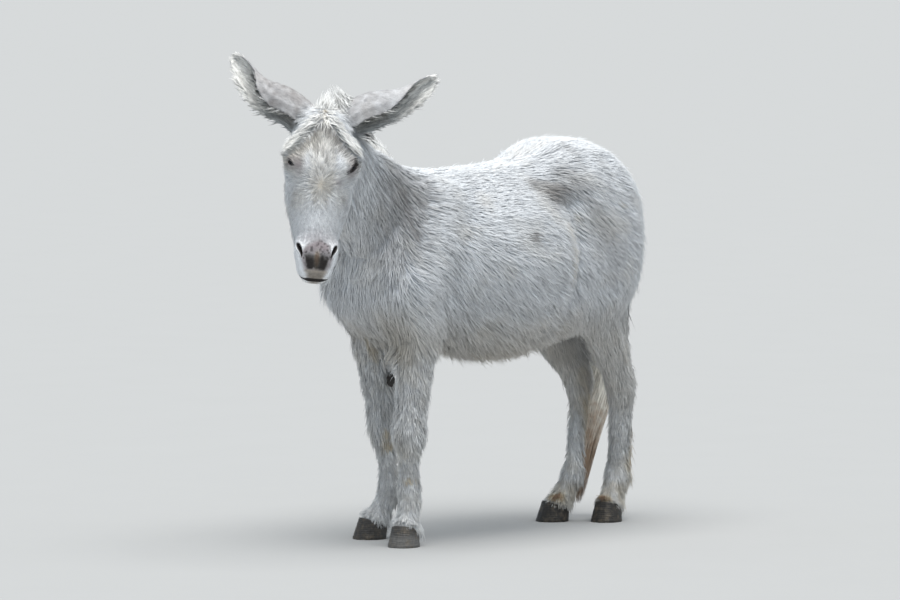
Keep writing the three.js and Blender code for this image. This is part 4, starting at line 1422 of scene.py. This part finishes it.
def standing_locks(node, count, width, spill, rightmost=-1.0):
    """Locks that grow out of the skin and fill a node: from the skin below to points of its surface.
    None is rooted further to the right than rightmost, in the head's frame."""
    tips = surface_samples(node, count)
    found = [skin_tree.find_nearest(tip) for tip in tips.tolist()]
    roots, out = np.array([hit[0] for hit in found]), np.array([hit[1] for hit in found])
    uvs = skin_uv[triangles[[hit[2] for hit in found], 0]]
    kept = to_head(roots)[:, 0] > rightmost
    tips, roots, out, uvs = tips[kept], roots[kept], out[kept], uvs[kept]
    count = len(roots)
    across = rng.normal(0, spill, (count, 3))
    roots = roots + flat_on(across, out) * np.linalg.norm(across, axis=1, keepdims=True) - out * 0.004
    reach = (tips - roots) * rng.uniform(0.85, 1.08, (count, 1))
    length = np.linalg.norm(reach, axis=1)
    s = np.linspace(0, 1, STANDING_STEPS)[None, :, None]
    paths = roots[:, None] + reach[:, None] * s
    sway = rng.normal(0, STANDING_WAVE, (count, 3)) * length[:, None]
    paths = paths + sway[:, None] * np.sin(math.pi * s)
    paths = paths + rng.normal(0, 0.5 * STANDING_WAVE, (count, 1, 3)) * s**2 * length[:, None, None]
    flats = unit(rng.normal(0, 1, (count, 3)))
    shades = rng.random((count, 2))
    widths = width * rng.uniform(0.7, 1.3, count)
    return paths, flats, unit(out + 0.35 * unit(reach)), widths, np.zeros((count, 4)), shades, uvs


def tail_locks(count):
    """Long wavy locks that run down the switch of the tail inside its own solid."""
    points = surface_samples("tail_switch", 6000)
    surface, faces = node_mesh("tail_switch")
    tree = BVHTree.FromPolygons(surface.tolist(), faces.tolist())
    low, high = points[:, 2].min(), points[:, 2].max()
    levels = np.linspace(low, high, TAIL_LEVELS)
    centres = np.array([points[np.abs(points[:, 2] - z) < 0.03].mean(axis=0)[:2] for z in levels])
    start = high - 0.16 * rng.random(count) ** 1.5 * (high - low)
    end = low + 0.003 + (high - low) * 0.62 * rng.random(count) ** 1.6
    angle = rng.uniform(0, 2 * math.pi, count)
    fraction = np.sqrt(rng.uniform(0.12, 1.0, count))
    clump = rng.integers(0, TAIL_CLUMPS, count)
    clump_angle = rng.uniform(0, 2 * math.pi, TAIL_CLUMPS)
    clump_fraction = np.sqrt(rng.uniform(0.1, 1.0, TAIL_CLUMPS))
    paths = np.zeros((count, TAIL_STEPS, 3))
    for step in range(TAIL_STEPS):
        s = step / (TAIL_STEPS - 1)
        z = start + (end - start) * s
        middle_xy = columns(*(np.interp(z, levels, centres[:, i]) for i in range(2)))
        gather = 0.42 * s
        turn = angle + (clump_angle[clump] - angle) * gather + 0.26 * np.sin(7 * s + 6 * clump)
        f = fraction + (clump_fraction[clump] - fraction) * gather
        ways = columns(np.cos(turn), np.sin(turn), 0 * turn)
        for i in range(count):
            origin = Vector((*middle_xy[i], z[i]))
            room = tree.ray_cast(origin, Vector(ways[i]), 0.2)[3] or 0.008
            paths[i, step] = origin + Vector(ways[i]) * (room * f[i] * (0.97 if s else 0.6))
    flats = unit(paths[:, TAIL_STEPS // 2] - np.append(centres.mean(axis=0), (low + high) / 2))
    roots = [skin_tree.find_nearest(point)[2] for point in paths[:, 0].tolist()]
    uvs = skin_uv[triangles[roots, 0]]
    widths = 0.0052 * rng.uniform(0.6, 1.4, count)
    outs = unit(flats * (1, 1, 0) + (0, 0, 0.5))
    return paths, flats, outs, widths, np.zeros((count, 4)), rng.random((count, 2)), uvs


mane_locks = standing_locks("mane", count=1500, width=0.0030, spill=0.006)
add_locks("mane", mane_locks, crest_hair, "long_hair", "mane")
forelock_locks = standing_locks("forelock", count=1000, width=0.0028, spill=0.008, rightmost=-0.022)
add_locks("forelock", forelock_locks, crest_hair, "long_hair", "forelock")
add_locks("tail_hair", tail_locks(count=1900), tail_hair, "tail_hair", "tail_switch")


# ---------------------------------------------------------------- eyes, hooves and chestnuts


def sphere(rings, segments):
    """Points and triangles of a ball of radius 1, with a pole at +Z."""
    bm = bmesh.new()
    bmesh.ops.create_uvsphere(bm, u_segments=segments, v_segments=rings, radius=1)
    bmesh.ops.triangulate(bm, faces=bm.faces)
    return triangles_from(bm)


def add_eye(node, side, material):
    """A dark ball whose cornea bulges a little, with a pupil longest along the gap of its lids."""
    centre, out, along, across = slit_frame(side, EYE, EYE_LOOKS, EYE_SLITS[side])
    points, faces = sphere(40, 56)
    squareness = points[:, 2]
    bulge = 1 + 0.045 * ramp(squareness, 0.55, 0.85)
    length, height = points[:, 0] * EYE_RADIUS, points[:, 1] * EYE_RADIUS
    local = points * bulge[:, None] * (EYE_RADIUS - 0.0006)
    placed = centre + local[:, :1] * along + local[:, 1:2] * across * side + local[:, 2:] * out
    mesh = mesh_of(node, from_head(placed), faces)
    iris = ramp(squareness, 0.70, 0.80)
    pupil = ramp(np.hypot(length / 0.0075, height / 0.0042), 1.1, 0.95) * (squareness > 0)
    white = ramp(squareness, 0.62, 0.40)
    unwrap(mesh)
    set_colors(mesh, "marks", columns(iris, pupil, white, np.ones(len(points))))
    piece_of(node, mesh, material, "eye", node)


HOOF_VOXEL = 0.0026
HOOF_SOLE = 0.0022  # what lies lower is laid flat on the floor
RING_HEIGHT = 0.0062  # from one growth ring of a hoof to the next
HOOF_TONES = {"foreleg_left": 0.75, "foreleg_right": 0.14, "hindleg_left": 0.06, "hindleg_right": 0.04}
TOP_TONE = 0.25  # a paler hoof darkens to this towards its top


def add_hoof(node, tone, material):
    """A hoof with growth rings, lumps and a chipped lower edge on its wall."""
    mesh = voxel_mesh(*node_mesh(node), HOOF_VOXEL)
    points = Web(mesh).smoothed(points_of(mesh), np.full(len(mesh.vertices), 0.9), 14)
    move_to(mesh, points)
    out = normals_of(mesh)
    z = points[:, 2]
    wall = ramp(np.abs(out[:, 2]), 0.8, 0.5)
    warped = z + 0.002 * noise_at(points, 0.03, 6)
    rings = 0.00055 * np.sin(warped * 2 * math.pi / RING_HEIGHT)
    rings = rings + 0.0008 * noise_at(points * (1, 1, 2.5), 0.012, 7)
    chipped = 0.0016 * ramp(z, 0.012, 0.0) * noise_at(points, 0.011, 8)
    points = points + out * ((rings - 0.0006 + chipped) * wall)[:, None]
    points[:, 2] = np.where(z < HOOF_SOLE, 0.0, points[:, 2])
    move_to(mesh, points)
    mesh.shade_smooth()
    unwrap(mesh)
    height = points[:, 2] / points[:, 2].max()
    lower = ramp(height, 0.75, 0.35) if tone > TOP_TONE else np.ones(len(points))
    none, full = np.zeros(len(points)), np.ones(len(points))
    set_colors(mesh, "marks", columns(tone * lower + TOP_TONE * (1 - lower), none, none, full))
    piece_of(node, mesh, material, "hoof", node)


def add_chestnut(node, material):
    """A lumpy callus, flattened towards the leg that it is on."""
    low, high = box_of(node)
    points, faces = sphere(24, 32)
    lump = 1 + 0.16 * noise_at(points, 0.5, 9)
    points = (low + high) / 2 + points * lump[:, None] * (high - low) / 2 * 0.96
    leg_side = high[0] if node.endswith("left") else low[0]
    points[:, 0] = leg_side + (points[:, 0] - leg_side) * 0.7
    mesh = mesh_of(node, points, faces)
    unwrap(mesh)
    piece_of(node, mesh, material, "chestnut", node)


wet_eye, horn, callus = eye_material(), horn_material(), callus_material()
for side, name in ((1, "left"), (-1, "right")):
    add_eye(f"eye_{name}", side, wet_eye)
for leg, tone in HOOF_TONES.items():
    add_hoof(f"{leg}_hoof", tone, horn)
for name in ("left", "right"):
    add_chestnut(f"chestnut_{name}", callus)


# ---------------------------------------------------------------- floor, light and camera

FLOOR_REACH = 1500
SKY_COLOR, SKY_STRENGTH = (0.74, 0.87, 1.0, 1), 0.54
LAMP_COLOR, LAMP_STRENGTH = (1.0, 0.985, 0.96), 4.1
LAMP_SPREAD, LAMP_LEAN, LAMP_TURN = 60, 12, 60  # degrees: as wide as a softbox, and almost overhead
CAMERA_PLACE = (11.11, -11.931, 1.68)
CAMERA_DIP, CAMERA_TURN = 3.44, 43  # degrees, below level and round the donkey from its front
CAMERA_LENS = 220.8  # millimetres


def add_floor():
    corners = np.array([[-1, -1, 0], [1, -1, 0], [1, 1, 0], [-1, 1, 0]]) * FLOOR_REACH
    floor = linked("floor", mesh_of("floor", corners, np.array([[0, 1, 2, 3]])))
    floor.data.materials.append(floor_material())


def add_light(scene):
    """An even sky, and one lamp that lights everything softly from above."""
    scene.world = bpy.data.worlds.new("studio")
    scene.world.use_nodes = True
    sky = scene.world.node_tree.nodes["Background"].inputs
    sky["Color"].default_value = SKY_COLOR
    sky["Strength"].default_value = SKY_STRENGTH
    scene.view_settings.view_transform = "Standard"
    lamp = linked("above", bpy.data.lights.new("above", "SUN"))
    lamp.data.energy = LAMP_STRENGTH
    lamp.data.angle = math.radians(LAMP_SPREAD)
    lamp.data.color = LAMP_COLOR
    lamp.rotation_euler = (math.radians(LAMP_LEAN), 0, math.radians(LAMP_TURN))


def add_camera(scene):
    camera = linked("camera", bpy.data.cameras.new("camera"))
    camera.location = CAMERA_PLACE
    camera.rotation_euler = (math.radians(90 - CAMERA_DIP), 0, math.radians(CAMERA_TURN))
    camera.data.lens = CAMERA_LENS
    camera.data.sensor_width = 36
    camera.data.clip_end = 4000
    scene.camera = camera


add_floor()
add_light(bpy.context.scene)
add_camera(bpy.context.scene)
